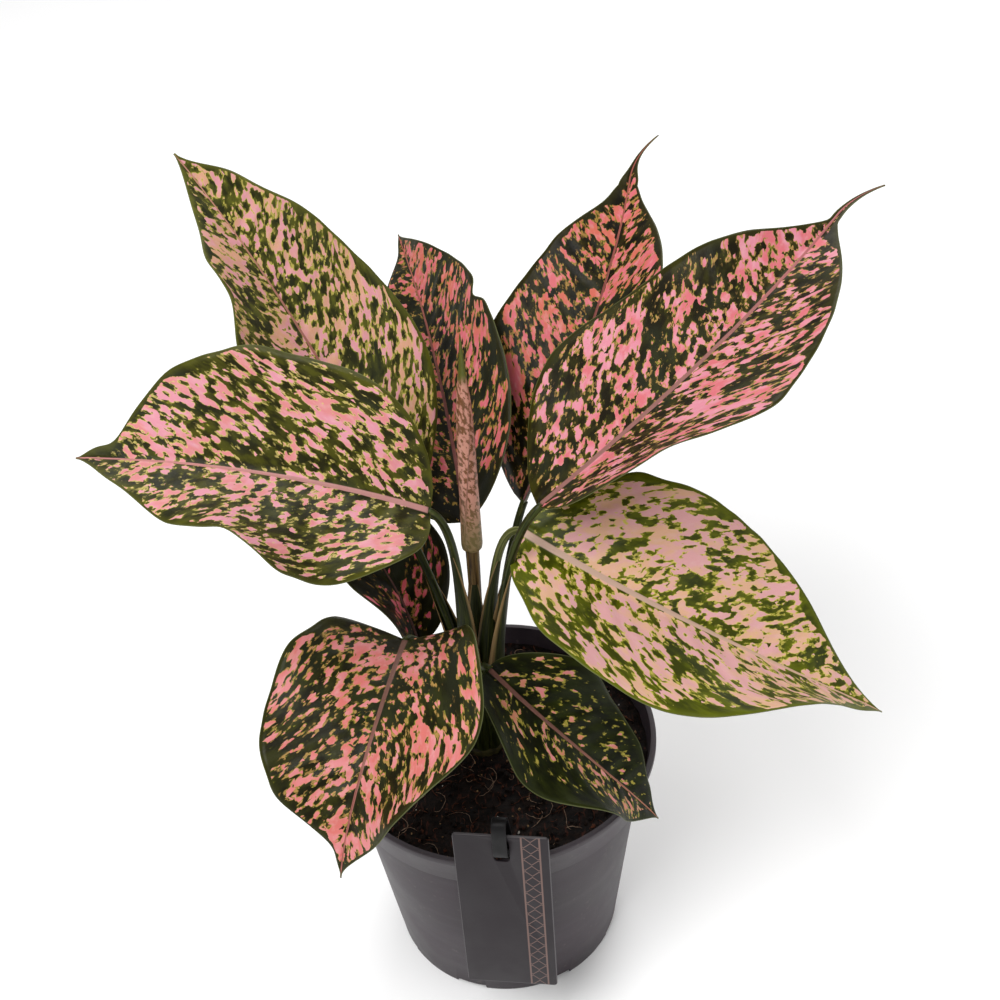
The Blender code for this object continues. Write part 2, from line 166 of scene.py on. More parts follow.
# Where a leaf's margin leaves its smooth outline: (half, share of the length, spread, how far out in mm).
MARGIN_BUMPS = {
    "high_left": ((0, 0.77, 0.04, 3.4), (0, 0.66, 0.04, -2.0), (0, 0.57, 0.04, 1.4),
                  (1, 0.9, 0.06, 3.6), (1, 0.75, 0.1, 1.4)),
    "left": ((1, 0.77, 0.05, 2.8), (1, 0.9, 0.04, -4.5), (1, 0.63, 0.04, -1.2),
             (0, 0.93, 0.04, 2.6), (0, 0.78, 0.05, 2.2), (0, 0.64, 0.04, -3.0), (0, 0.5, 0.06, 3.6)),
    "back": ((1, 0.53, 0.03, -3.8), (0, 0.92, 0.04, -2.0)),
    "back_right": ((0, 0.82, 0.04, 2.6), (0, 0.65, 0.05, 1.0), (1, 0.83, 0.05, 2.4)),
    "high_right": ((1, 0.38, 0.05, 2.4), (1, 0.7, 0.2, 1.3), (1, 0.21, 0.05, -4.0)),
    "right": ((0, 0.6, 0.15, 1.6), (0, 0.17, 0.05, 3.2), (1, 0.85, 0.07, -3.0), (1, 0.1, 0.06, -3.5)),
    "front_left": ((1, 0.77, 0.05, 3.0), (1, 0.89, 0.04, -1.8), (1, 0.2, 0.05, -2.0), (1, 0.06, 0.05, 2.0)),
    "front_right": ((0, 0.9, 0.04, 1.6),),
    "low_left": ((1, 0.25, 0.15, 1.5),),
}
# Fine unevenness of every margin, in millimetres.
MARGIN_RIPPLE = 0.45


class Look(NamedTuple):
    """A blade's colours, in sRGB 0 to 255, and how its blotches lie."""

    cover: float  # share of the blade that is blotched
    pink: tuple
    warm: tuple  # the second blotch colour, mixed in by patches
    fringe: tuple  # the blotches' pale edge
    dark: tuple
    mid: tuple
    rib: tuple
    rib_half_width: float  # at the base, in millimetres


LOOKS = {
    "high_left": Look(0.43, (246, 170, 178), (240, 180, 146), (226, 204, 112), (44, 44, 10),
                      (118, 120, 38), (160, 92, 82), 0.8),
    "left": Look(0.36, (244, 164, 180), (238, 150, 150), (234, 206, 132), (38, 36, 2),
                 (98, 98, 22), (200, 140, 136), 1.0),
    "back": Look(0.35, (232, 114, 124), (224, 118, 98), (184, 128, 70), (16, 13, 0),
                 (52, 48, 8), (116, 50, 50), 0.8),
    "back_right": Look(0.42, (238, 120, 130), (230, 120, 100), (198, 132, 78), (18, 14, 0),
                       (60, 54, 8), (126, 52, 54), 0.8),
    "high_right": Look(0.40, (242, 154, 172), (234, 124, 132), (214, 152, 104), (28, 22, 0),
                       (68, 66, 12), (152, 98, 94), 1.05),
    "right": Look(0.49, (246, 184, 184), (246, 194, 158), (232, 214, 106), (64, 70, 2),
                  (118, 126, 14), (214, 180, 160), 1.15),
    "front_left": Look(0.38, (242, 148, 150), (236, 130, 122), (212, 152, 98), (28, 26, 2),
                       (62, 64, 12), (114, 72, 62), 0.9),
    "front_right": Look(0.14, (242, 148, 150), (232, 152, 116), (200, 180, 84), (18, 22, 2),
                        (50, 58, 10), (116, 70, 62), 0.8),
    "low_left": Look(0.24, (252, 104, 130), (244, 108, 114), (156, 84, 58), (18, 16, 0),
                     (44, 42, 8), (84, 40, 40), 0.6),
}


# ---------------------------------------------------------------- node materials


def srgb(colour, light):
    """The linear base colour that looks like this sRGB colour, 0 to 255, under lights this bright."""
    linear = []
    for value in colour:
        share = value / 255
        linear.append(share / 12.92 if share <= 0.04045 else ((share + 0.055) / 1.055) ** 2.4)
    return (*(value / light for value in linear), 1.0)


class Field:
    """A node's output. Arithmetic on it adds Math nodes."""

    def __init__(self, nodes, socket):
        self.nodes = nodes
        self.socket = socket

    def __add__(self, other):
        return self.nodes.math("ADD", self, other)

    def __sub__(self, other):
        return self.nodes.math("SUBTRACT", self, other)

    def __rsub__(self, other):
        return self.nodes.math("SUBTRACT", other, self)

    def __mul__(self, other):
        return self.nodes.math("MULTIPLY", self, other)

    def __truediv__(self, other):
        return self.nodes.math("DIVIDE", self, other)

    def __abs__(self):
        return self.nodes.math("ABSOLUTE", self)


class Nodes:
    """A material under construction: most methods add a node and return its output as a Field."""

    def __init__(self, name, light=STUDIO_LIGHT):
        self.material = bpy.data.materials.new(name)
        self.material.use_nodes = True
        self.tree = self.material.node_tree
        self.light = light

    def feed(self, socket, value):
        if isinstance(value, Field):
            self.tree.links.new(value.socket, socket)
        else:
            socket.default_value = value

    def add(self, kind, inputs, output=0, **settings):
        """A new node with these settings, whose inputs are given by name or by number."""
        node = self.tree.nodes.new("ShaderNode" + kind)
        for name, value in settings.items():
            setattr(node, name, value)
        for key, value in inputs.items():
            self.feed(node.inputs[key], value)
        return Field(self, node.outputs[output])

    def uv(self, name):
        """A UV map's two values."""
        return self.split(self.add("UVMap", {}, uv_map=name))[:2]

    def place(self):
        """Object coordinates."""
        return self.add("TexCoord", {}, "Object")

    def split(self, vector):
        first = self.add("SeparateXYZ", {0: vector})
        return [Field(self, socket) for socket in first.socket.node.outputs]

    def vector(self, *parts):
        return self.add("CombineXYZ", dict(enumerate(parts)))

    def math(self, operation, *values):
        return self.add("Math", dict(enumerate(values)), operation=operation)

    def step(self, value, low, high, at_low=0.0, at_high=1.0):
        """A smooth step from `at_low` to `at_high` as value goes from low to high."""
        inputs = {"Value": value, "From Min": low, "From Max": high, "To Min": at_low, "To Max": at_high}
        return self.add("MapRange", inputs, interpolation_type="SMOOTHSTEP")

    def band(self, value, start, stop, soft):
        """1 from start to stop, in millimetres, and 0 outside them, with an edge this soft."""
        rise = self.step(value, (start - soft) * MM, start * MM)
        return rise * self.step(value, stop * MM, (stop + soft) * MM, 1.0, 0.0)

    def noise(self, vector, scale, detail=2.0, roughness=0.5):
        inputs = {"Vector": vector, "Scale": scale, "Detail": detail, "Roughness": roughness}
        return self.add("TexNoise", inputs)

    def bend(self, vector, scale, distance):
        """The vector moved about by up to half of `distance`, so that straight edges become ragged."""
        drift = self.add("TexNoise", {"Vector": vector, "Scale": scale}, "Color")
        return self.add("VectorMath", {0: drift, 1: (distance,) * 3, 2: vector}, operation="MULTIPLY_ADD")

    def cells(self, vector, scale):
        """The middle of the irregular cell that each point falls in."""
        return self.add("TexVoronoi", {"Vector": vector, "Scale": scale}, "Position")

    def mix(self, share, *ends):
        """A colour between two, each of them a Field or an sRGB colour, 0 to 255."""
        a, b = (end if isinstance(end, Field) else srgb(end, self.light) for end in ends)
        return self.add("Mix", {0: share, 6: a, 7: b}, 2, data_type="RGBA")

    def rough(self, grain, low, high):
        """A roughness that goes from low to high with a noise."""
        return self.step(grain, 0.3, 0.7, low, high)

    def bump(self, height, strength, distance):
        """A normal for bumps up to `distance` millimetres high."""
        return self.add("Bump", {"Strength": strength, "Distance": distance * MM, "Height": height})

    def finish(self, colour, roughness, specular, **others):
        """Feeds the Principled shader, with _ for a space in its inputs' names, and returns the material."""
        given = {"Base_Color": colour, "Roughness": roughness, "Specular_IOR_Level": specular, **others}
        for name, value in given.items():
            self.feed(self.tree.nodes["Principled BSDF"].inputs[name.replace("_", " ")], value)
        return self.material


# A blotch's usual size across and along the side veins, and the side veins' spacing, in millimetres.
BLOTCH_WIDTH = 3.4
BLOTCH_LENGTH = 4.6
VEIN_PITCH = 7.5
# Painted sheen: a grey-green laid in patches over the blade's dark green, standing in for reflections.
PAINTED_SHEEN_GREY = (46, 52, 34)
PALE_PINK = (250, 206, 200)
YELLOW_SPECK = (150, 150, 50)
OLIVE = (186, 180, 72)
RIB_SHEEN = (226, 190, 170)
MARGIN_LINE = (128, 134, 80)
UNDERSIDE = (112, 112, 84)


def blotches(nodes, veins, seed):
    """(field, place): noise in patches that run along the side veins, with small angular edges."""
    across, along = veins
    place = nodes.vector(across * (1 / BLOTCH_WIDTH), along * (1 / BLOTCH_LENGTH), seed)
    bent = nodes.bend(place, 3.2, 0.16)
    cells = nodes.noise(nodes.cells(bent, 2.2), 0.95, detail=1.0)
    smooth = nodes.noise(place, 1.25, detail=0.7)
    broad = nodes.noise(place, 0.22, detail=1.0)
    return cells * 0.46 + smooth * 0.54 + (broad - 0.5) * 0.4, place


def blotch_depth(nodes, look, field, place, spot):
    """How far inside a blotch a point is. Blotches thin out near the margin, the foot and the rib."""
    rib_ratio, edge_distance, share = spot
    wander = nodes.noise(place, 0.24, detail=1.0)
    border = nodes.math("MAXIMUM", (wander - 0.44) * 24.0, 1.3)
    edge = nodes.step(edge_distance / border, 0.3, 1.0, 0.5, 0.0)
    foot = nodes.step(share, 0.02, 0.16, 0.08, 0.0)
    beside_rib = nodes.step(rib_ratio, 1.0, 3.0, 0.03, 0.0)
    # Blender's noise lies close about one half, so a share of the blade becomes a level near it.
    level = 0.5 + (0.5 - look.cover) * 0.3
    return field - (edge + (foot + beside_rib)) - level


def greens(nodes, look, place, depth):
    """The unblotched blade: dark, with olive near the blotches and a painted grey sheen in places."""
    shade = nodes.step(nodes.noise(place, 0.7, detail=3.0), 0.4, 0.68, 0.0, 0.6)
    green = nodes.mix(shade, look.dark, look.mid)
    # Painted sheen: grey-green patches that stand in for reflections on the dark green.
    painted_sheen = nodes.step(nodes.noise(place, 0.16), 0.48, 0.66, 0.0, 0.5)
    green = nodes.mix(painted_sheen, green, PAINTED_SHEEN_GREY)
    return nodes.mix(nodes.step(depth, -0.075, -0.02, 0.0, 0.75), green, look.mid)


def pinks(nodes, look, place):
    """The blotches' own colour, which wanders between two pinks and is paler in spots."""
    warm_share = nodes.step(nodes.noise(place, 0.42), 0.42, 0.6)
    pink = nodes.mix(warm_share, look.pink, look.warm)
    pale = nodes.step(nodes.noise(place, 1.6, detail=3.0), 0.45, 0.75, 0.0, 0.3)
    return nodes.mix(pale, pink, PALE_PINK)


def blotched_skin(nodes, look, place, depth, edge_distance):
    """Greens with yellow specks, and blotches that go through olive and a pale fringe to pink."""
    colour = greens(nodes, look, place, depth)
    colour = nodes.mix(nodes.step(edge_distance, 0.0, 4.0, 0.5, 0.0), colour, look.mid)
    specks = nodes.noise(nodes.cells(place, 4.2), 2.0, detail=1.0)
    specks = nodes.step(specks, 0.57, 0.61) * nodes.step(depth, -0.12, -0.05)
    colour = nodes.mix(specks, colour, nodes.mix(0.4, look.fringe, YELLOW_SPECK))
    olive = nodes.mix(0.5, look.mid, OLIVE)
    pink = pinks(nodes, look, place)
    for low, high, ring in ((-0.028, -0.015, olive), (-0.012, -0.006, look.fringe), (0.0, 0.01, pink)):
        colour = nodes.mix(nodes.step(depth, low, high), colour, ring)
    return colour


def with_rib(nodes, look, skin, veins, spot):
    """The skin with its midrib, which nears the blotches' warm colour towards the tip."""
    rib_ratio, _, share = spot
    grain = nodes.noise(nodes.vector(veins[0] * 0.25, rib_ratio), 2.0)
    far = nodes.mix(0.5, look.rib, look.warm)
    rib = nodes.mix(nodes.step(share, 0.3, 0.9), look.rib, far)
    rib = nodes.mix(grain * 0.2, rib, RIB_SHEEN)
    return nodes.mix(nodes.step(rib_ratio, 0.85, 1.25, 1.0, 0.0), skin, rib)


def blade_material(name, look, seed):
    """A blotched blade, from UV maps of its veins, its distances to rib and margin, and its underside."""
    nodes = Nodes("blade_" + name)
    veins = nodes.uv("veins")
    rib_ratio, edge_distance = nodes.uv("place")
    share, underside = nodes.uv("along")
    spot = rib_ratio, edge_distance, share
    field, place = blotches(nodes, veins, seed)
    depth = blotch_depth(nodes, look, field, place, spot)
    colour = blotched_skin(nodes, look, place, depth, edge_distance)
    colour = with_rib(nodes, look, colour, veins, spot)
    colour = nodes.mix(nodes.step(edge_distance, 0.1, 0.4, 0.5, 0.0), colour, MARGIN_LINE)
    colour = nodes.mix(underside, colour, nodes.mix(0.55, colour, UNDERSIDE))
    grain = nodes.noise(place, 6.0, detail=3.0)
    side_veins = nodes.math("SINE", veins[0] * (tau / VEIN_PITCH))
    normal = nodes.bump(side_veins * 0.3 + grain * 0.6, 0.25, 0.4)
    roughness = nodes.rough(grain, 0.36, 0.5)
    return nodes.finish(colour, roughness, 0.1, Normal=normal, Coat_Weight=0.03, Coat_Roughness=0.25)


def stalk_material(name, dark, light):
    """A streaked and faintly blotched stalk."""
    nodes = Nodes(name)
    around, along = nodes.uv("stalk")
    streak = nodes.noise(nodes.vector(around * 14.0, along * 0.05), 1.0, detail=3.0)
    blotch = nodes.noise(nodes.vector(around * 4.0, along * 0.16), 1.0, detail=4.0)
    colour = nodes.mix(nodes.step(streak, 0.35, 0.65), dark, light)
    colour = nodes.mix(nodes.step(blotch, 0.56, 0.7, 0.0, 0.4), colour, (112, 108, 62))
    return nodes.finish(colour, nodes.rough(streak, 0.3, 0.46), 0.15, Normal=nodes.bump(streak, 0.3, 0.3))


def sheath_material():
    """A sheath that is green along its back and dries to a pale membrane at its edges."""
    nodes = Nodes("sheath")
    around, along = nodes.uv("stalk")
    streak = nodes.noise(nodes.vector(around * 30.0, along * 0.08), 1.0, detail=4.0)
    body = nodes.mix(nodes.step(streak, 0.35, 0.7), (28, 34, 12), (68, 74, 30))
    dry = nodes.mix(streak, (122, 88, 52), (200, 170, 118))
    colour = nodes.mix(nodes.step(abs(around - 0.5), 0.34, 0.46), body, dry)
    return nodes.finish(colour, nodes.rough(streak, 0.4, 0.6), 0.15, Normal=nodes.bump(streak, 0.35, 0.3))


def new_leaf_material():
    """The outside of the rolled leaf: pale pink with fine tan flecks, and green towards its point."""
    nodes = Nodes("new_leaf")
    around, along = nodes.uv("stalk")
    turned = along * 0.45 + around * 22.0
    place = nodes.vector(turned * (1 / 1.3), along * (1 / 1.8), 3.7)
    cells = nodes.noise(nodes.cells(place, 1.8), 1.0, roughness=0.6)
    smooth = nodes.noise(place, 1.0, detail=4.0, roughness=0.6)
    field = cells * 0.5 + smooth * 0.5
    tan = nodes.mix(smooth, (104, 64, 38), (158, 110, 70))
    pink = nodes.mix(cells, (214, 142, 130), (226, 170, 144))
    colour = nodes.mix(nodes.step(field, 0.45, 0.52), tan, pink)
    foot = nodes.mix(field, (104, 98, 40), (172, 156, 96))
    colour = nodes.mix(nodes.step(along, 2.0, 26.0, 0.8, 0.0), colour, foot)
    point = nodes.mix(field, (66, 74, 26), (118, 120, 44))
    colour = nodes.mix(nodes.step(along, 67.0, 72.0), colour, point)
    normal = nodes.bump(nodes.noise(place, 3.0, detail=3.0), 0.25, 0.3)
    return nodes.finish(colour, nodes.rough(smooth, 0.36, 0.5), 0.3, Normal=normal)


def pot_material():
    """Black plastic with moulding clouds, level flow lines and a little dust."""
    nodes = Nodes("pot_plastic")
    place = nodes.place()
    x, y, z = nodes.split(place)
    cloud = nodes.noise(place, 28.0, detail=5.0, roughness=0.6)
    flow = nodes.noise(nodes.vector(x * 9.0, y * 9.0, z * 160.0), 1.0)
    dust = nodes.step(nodes.noise(place, 420.0, detail=3.0), 0.62, 0.75, 0.0, 0.5)
    colour = nodes.mix(nodes.step(cloud, 0.35, 0.65), (52, 43, 49), (70, 60, 67))
    colour = nodes.mix(nodes.step(flow, 0.4, 0.7, 0.0, 0.25), colour, (90, 83, 88))
    colour = nodes.mix(dust * 0.35, colour, (140, 132, 124))
    normal = nodes.bump(nodes.noise(place, 1500.0), 0.15, 0.2)
    return nodes.finish(colour, nodes.rough(cloud, 0.42, 0.56), 0.3, Normal=normal)


def peat_material():
    """Nearly black crumbs with rusty fibres, damp in places."""
    nodes = Nodes("peat")
    place = nodes.place()
    x, y, z = nodes.split(place)
    crumb = nodes.noise(place, 420.0, detail=6.0, roughness=0.65)
    fibre = nodes.noise(nodes.vector(x * 900.0, y * 240.0, z * 500.0), 1.0, detail=3.0)
    damp = nodes.noise(place, 60.0)
    colour = nodes.mix(nodes.step(crumb, 0.36, 0.66), (9, 5, 4), (36, 23, 16))
    colour = nodes.mix(nodes.step(fibre, 0.58, 0.72, 0.0, 0.7), colour, (96, 52, 38))
    roughness = nodes.step(damp, 0.35, 0.65, 0.7, 0.95)
    return nodes.finish(colour, roughness, 0.2, Normal=nodes.bump(crumb, 0.8, 1.2))


def speck_material(name, dark, light, scale, roughness):
    """A rough mineral or fibre whose colour wanders between two."""
    nodes = Nodes(name)
    grain = nodes.noise(nodes.place(), scale, detail=4.0)
    colour = nodes.mix(nodes.step(grain, 0.35, 0.65), dark, light)
    roughness = nodes.rough(grain, roughness, roughness + 0.15)
    return nodes.finish(colour, roughness, 0.2, Normal=nodes.bump(grain, 0.5, 0.3))


# The card's border, in millimetres from its right side: two rules with a lattice between them.
RULES = ((3.0, 3.5), (9.2, 9.7))
RULE_SOFTNESS = 0.1
LATTICE_SPAN = (3.7, 9.0)
LATTICE_SOFTNESS = 0.2
LATTICE_MIDDLE = 6.35
LATTICE_HALF_WIDTH = 2.4
LATTICE_HALF_PITCH = 3.0


def card_material():
    """Dark printed plastic with a plain ruled border down its right side and pale cut edges."""
    nodes = Nodes("card")
    place = nodes.place()
    x, y, z = nodes.split(place)
    from_right = CARD_WIDTH / 2 - x
    rules = [nodes.band(from_right, start, stop, RULE_SOFTNESS) for start, stop in RULES]
    down = nodes.math("PINGPONG", z, LATTICE_HALF_PITCH * MM)
    out = nodes.math("PINGPONG", from_right - LATTICE_MIDDLE * MM, LATTICE_HALF_WIDTH * MM)
    off_line = abs(down + out - (LATTICE_HALF_PITCH + LATTICE_HALF_WIDTH) / 2 * MM)
    inside = nodes.band(from_right, *LATTICE_SPAN, LATTICE_SOFTNESS)
    lattice = nodes.step(off_line, 0.14 * MM, 0.3 * MM, 1.0, 0.0) * inside
    front = nodes.step(y, -0.25 * CARD_THICKNESS, -0.45 * CARD_THICKNESS)
    ink = nodes.math("MAXIMUM", nodes.math("MAXIMUM", *rules), lattice) * front
    cloud = nodes.noise(place, 60.0, detail=4.0)
    base = nodes.mix(cloud, (35, 27, 33), (46, 38, 43))
    colour = nodes.mix(ink, base, (136, 108, 100))
    cut_edges = [nodes.step(abs(value), size / 2 - 0.35 * MM, size / 2 - 0.2 * MM)
                 for value, size in ((x, CARD_WIDTH), (z, CARD_HEIGHT))]
    colour = nodes.mix(nodes.math("MAXIMUM", *cut_edges) * 0.6, colour, (118, 114, 116))
    normal = nodes.bump(nodes.noise(place, 900.0), 0.08, 0.2)
    return nodes.finish(colour, nodes.rough(cloud, 0.42, 0.55), 0.3, Normal=normal)


def strap_material():
    """Black plastic, a little cloudy."""
    nodes = Nodes("strap_plastic")
    cloud = nodes.noise(nodes.place(), 240.0, detail=4.0)
    colour = nodes.mix(cloud, (8, 7, 8), (20, 18, 20))
    return nodes.finish(colour, nodes.rough(cloud, 0.4, 0.55), 0.2, Normal=nodes.bump(cloud, 0.2, 0.2))


# ---------------------------------------------------------------- mesh helpers


def add_object(name, data):
    obj = bpy.data.objects.new(name, data)
    bpy.context.scene.collection.objects.link(obj)
    return obj


def object_from(name, shape):
    """An object made from a bmesh, which it frees."""
    mesh = bpy.data.meshes.new(name)
    shape.to_mesh(mesh)
    shape.free()
    return add_object(name, mesh)


def circle(radius, height, steps):
    """Points round a level circle about the Z axis."""
    angles = [tau * i / steps for i in range(steps)]
    return [(radius * cos(angle), radius * sin(angle), height) for angle in angles]


def spoke(out, across, angle):
    """The direction at this angle from `out` towards `across`."""
    return out * cos(angle) + across * sin(angle)


def grid_faces(rows, columns, start=0, close=False, flip=False):
    """Quads of a grid of points, stored row by row; `close` joins the last column to the first."""
    faces = []
    span = columns if close else columns - 1
    for row in range(rows - 1):
        for column in range(span):
            a = start + row * columns + column
            b = start + row * columns + (column + 1) % columns
            quad = (a, b, b + columns, a + columns)
            faces.append(quad[::-1] if flip else quad)
    return faces


def tube_faces(rows, around, start=0):
    """The faces of a tube of points, stored ring by ring, with both its ends closed."""
    last = start + (rows - 1) * around
    faces = grid_faces(rows, around, start, close=True)
    faces.append(tuple(range(start, start + around))[::-1])
    faces.append(tuple(range(last, last + around)))
    return faces


def shell(front, back, rows, columns):
    """(points, faces) of two grids of points joined all round their rims."""
    count = rows * columns
    faces = grid_faces(rows, columns) + grid_faces(rows, columns, start=count, flip=True)
    rim = [row * columns for row in range(rows)]
    rim += [(rows - 1) * columns + column for column in range(1, columns)]
    rim += [row * columns + columns - 1 for row in range(rows - 2, -1, -1)]
    rim += list(range(columns - 2, 0, -1))
    for a, b in zip(rim, rim[1:] + rim[:1]):
        faces.append((a, b, b + count, a + count))
    return [*front, *back], faces


def make_mesh(name, points, faces, uvs=None, smooth=True):
    """A mesh object; uvs maps a layer's name to one pair of values for each point."""
    mesh = bpy.data.meshes.new(name)
    mesh.from_pydata([tuple(point) for point in points], [], faces)
    mesh.validate()
    corners = np.empty(len(mesh.loops), dtype=np.int32)
    mesh.loops.foreach_get("vertex_index", corners)
    for layer, values in (uvs or {}).items():
        flat = np.asarray(values, dtype=np.float32)[corners].ravel()
        mesh.uv_layers.new(name=layer).data.foreach_set("uv", flat)
    if smooth:
        mesh.shade_smooth()
    return add_object(name, mesh)


def closed_mesh(name, points, faces, uvs=None, smooth=True, weld=False):
    """A mesh object whose faces all point out; `weld` joins the points that coincide."""
    obj = make_mesh(name, points, faces, uvs, smooth)
    shape = bmesh.new()
    shape.from_mesh(obj.data)
    if weld:
        bmesh.ops.remove_doubles(shape, verts=shape.verts, dist=0.001 * MM)
    bmesh.ops.recalc_face_normals(shape, faces=shape.faces)
    shape.to_mesh(obj.data)
    shape.free()
    return obj


def lathe(name, profile, steps):
    """A smooth turned mesh from a profile of (radius, height), outer side from top to bottom."""
    points = [point for radius, height in profile for point in circle(radius, height, steps)]
    return closed_mesh(name, points, grid_faces(len(profile), steps, close=True, flip=True), weld=True)


def sweep(name, rings, uvs):
    """A mesh through rings of points, with a UV layer of (share around, length along)."""
    points = [point for ring in rings for point in ring]
    return closed_mesh(name, points, tube_faces(len(rings), len(rings[0])), {"stalk": uvs})


def settle(obj, material, slot, *nodes):
    """Gives a piece its material and ties it to the frame."""
    obj.data.materials.clear()
    obj.data.materials.append(material)
    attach(obj, "root")
    if nodes:
        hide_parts(*nodes)


def cutter(name, shape):
    """An object that a Boolean can cut away, from a bmesh."""
    bmesh.ops.recalc_face_normals(shape, faces=shape.faces)
    return object_from(name, shape)


def apply_modifiers(obj):
    """Replaces the mesh by its evaluated one."""
    graph = bpy.context.evaluated_depsgraph_get()
    mesh = bpy.data.meshes.new_from_object(obj.evaluated_get(graph))
    obj.modifiers.clear()
    obj.data = mesh


def cut(obj, tool):
    """Cuts the tool out of a piece and removes the tool."""
    boolean = obj.modifiers.new("cut", "BOOLEAN")
    boolean.operation = "DIFFERENCE"
    boolean.solver = "EXACT"
    boolean.object = tool
    apply_modifiers(obj)
    bpy.data.objects.remove(tool, do_unlink=True)


def smooth_by_angle(obj, degrees):
    obj.data.shade_smooth()
    obj.data.set_sharp_from_angle(angle=radians(degrees))


# ---------------------------------------------------------------- leaves


def blend(pair, share):
    return pair[0] + (pair[1] - pair[0]) * share


def midrib_direction(leaf, share):
    """(heading, direction) of the midrib at this share of its length."""
    heading = blend(leaf.heading, share)
    if leaf.drip:
        heading += leaf.hook * max(0.0, (share - 1 + leaf.drip) / leaf.drip)
    heading = radians(heading)
    rise = radians(blend(leaf.rise, share))
    level = cos(rise)
    return heading, np.array((level * cos(heading), level * sin(heading), sin(rise)))


def midrib_frames(leaf, rows):
    """(share, point, direction, side, normal) down the midrib; side points to the leaf's left."""
    point = np.array(leaf.base, dtype=float)
    frames = []
    for row in range(rows + 1):
        share = row / rows
        if row:
            _, step = midrib_direction(leaf, share - 0.5 / rows)
            point = point + step * (leaf.length / rows)
        heading, direction = midrib_direction(leaf, share)
        level_side = np.array((-sin(heading), cos(heading), 0.0))
        level_normal = np.cross(direction, level_side)
        roll = radians(blend(leaf.roll, share))
        side = spoke(level_side, level_normal, roll)
        normal = spoke(level_normal, -level_side, roll)
        frames.append((share, point, direction, side, normal))
    return frames


def half_width(leaf, share):
    """Half of the blade's width, in millimetres; the drip tip thins out to a point."""
    inner = min(1.0, share / (1 - leaf.drip))
    if inner < leaf.widest:
        part = (1 - (1 - inner / leaf.widest) ** 2) ** SHOULDER
    else:
        part = max(0.0, 1 - ((inner - leaf.widest) / (1 - leaf.widest)) ** 2) ** leaf.taper
    thinnest = EDGE_HALF_WIDTH
    if leaf.drip:
        thinnest += (DRIP_HALF_WIDTH - EDGE_HALF_WIDTH) * min(1.0, (1 - share) / leaf.drip)
    return max(thinnest * (1 - 0.6 * share**8), part * leaf.width / 2)


def margin_shift(leaf, half, share):
    """How far this half's margin stands out from the smooth outline, in millimetres."""
    ripple = noise.noise(Vector((0.11 * leaf.length * share, leaf.phase[half], half)))
    shift = MARGIN_RIPPLE * ripple * sin(pi * share)
    for side, middle, spread, reach in MARGIN_BUMPS[leaf.name]:
        if side == half:
            shift += reach * exp(-(((share - middle) / spread) ** 2))
    return shift


def folded(fold, part):
    """(out, up) at this part of a half blade one unit wide, which is folded up and curls a little more."""
    start = radians(fold)
    turn = radians(CURL)
    end = start + turn * part
    return (sin(end) - sin(start)) / turn, (cos(start) - cos(end)) / turn


BLADE_SEED_STEP = 11.3
RIB_COLUMNS = 3
HALF_COLUMNS = 18
BLADE_ROWS = 110
# A side vein leaves the midrib at a slant, sweeps on towards the tip, and so is longer than its reach.
VEIN_SLANT = 0.45
VEIN_SWEEP = 0.85
VEIN_STRETCH = 1.35
# Half thicknesses and reliefs of the finished blade, in millimetres.
THIN_EDGE = 0.12
THICKER_INSIDE = 0.13
VEIN_QUILT = 0.2
PUCKER = 0.5
RIB_RAISE = 0.35
RIB_GROOVE = 0.5


def half_row(leaf, half, station, rib_half_width):
    """Cells from the midrib to one margin: x, y, z, vein, its length, rib ratio, edge distance, share."""
    share, point, direction, side, normal = station
    sign = 1.0 - 2.0 * half
    outline = half_width(leaf, share)
    fullness = min(1.0, 3.2 * outline / leaf.width)
    back = leaf.lobe * fullness * exp(-((share / LOBE_REACH) ** 1.5))
    rib = min(rib_half_width * (1.15 - 0.85 * share), 0.25 * outline)
    wave = tau * WAVES_PER_LEAF * share + radians(leaf.phase[half])
    lift = leaf.wave[half] * fullness * sin(wave)
    width = max(0.6 * outline, outline + margin_shift(leaf, half, share))
    row = []
    for column in range(HALF_COLUMNS + 1):
        distance = rib * column / RIB_COLUMNS
        if column > RIB_COLUMNS:
            distance = rib + (width - rib) * (column - RIB_COLUMNS) / (HALF_COLUMNS - RIB_COLUMNS)
        part = distance / width
        out, up = folded(leaf.fold[half], part)
        place = point + side * (sign * out * width) + normal * (up * width + lift * part**2)
        place = place - direction * (back * part**1.5)
        vein = share * leaf.length - VEIN_SLANT * distance - VEIN_SWEEP * distance**2 / leaf.width
        row.append((*place, vein, VEIN_STRETCH * sign * distance, distance / rib, width - distance, share))
    return row


def blade_cells(leaf, rib_half_width):
    """The blade's middle surface as a grid of the cells that half_row gives, from margin to margin."""
    rows = []
    for station in midrib_frames(leaf, BLADE_ROWS):
        left, right = (half_row(leaf, half, station, rib_half_width) for half in (0, 1))
        rows.append(left[:0:-1] + right)
    return np.array(rows)


def grid_normals(points):
    normals = np.cross(np.gradient(points, axis=0), np.gradient(points, axis=1))
    return normals / np.maximum(np.linalg.norm(normals, axis=2, keepdims=True), 1e-12)


def puckers(veins, seed):
    """Soft dents between the side veins, from -1 to 1."""
    place = veins.reshape(-1, 2) * (1 / 7.0, 1 / 11.0)
    dents = [noise.noise(Vector((x, y, seed))) for x, y in place]
    return np.array(dents).reshape(veins.shape[:2])


def ramp(values, reach):
    """From 0 to 1 as the values go from 0 to reach."""
    return np.clip(values / reach, 0.0, 1.0)


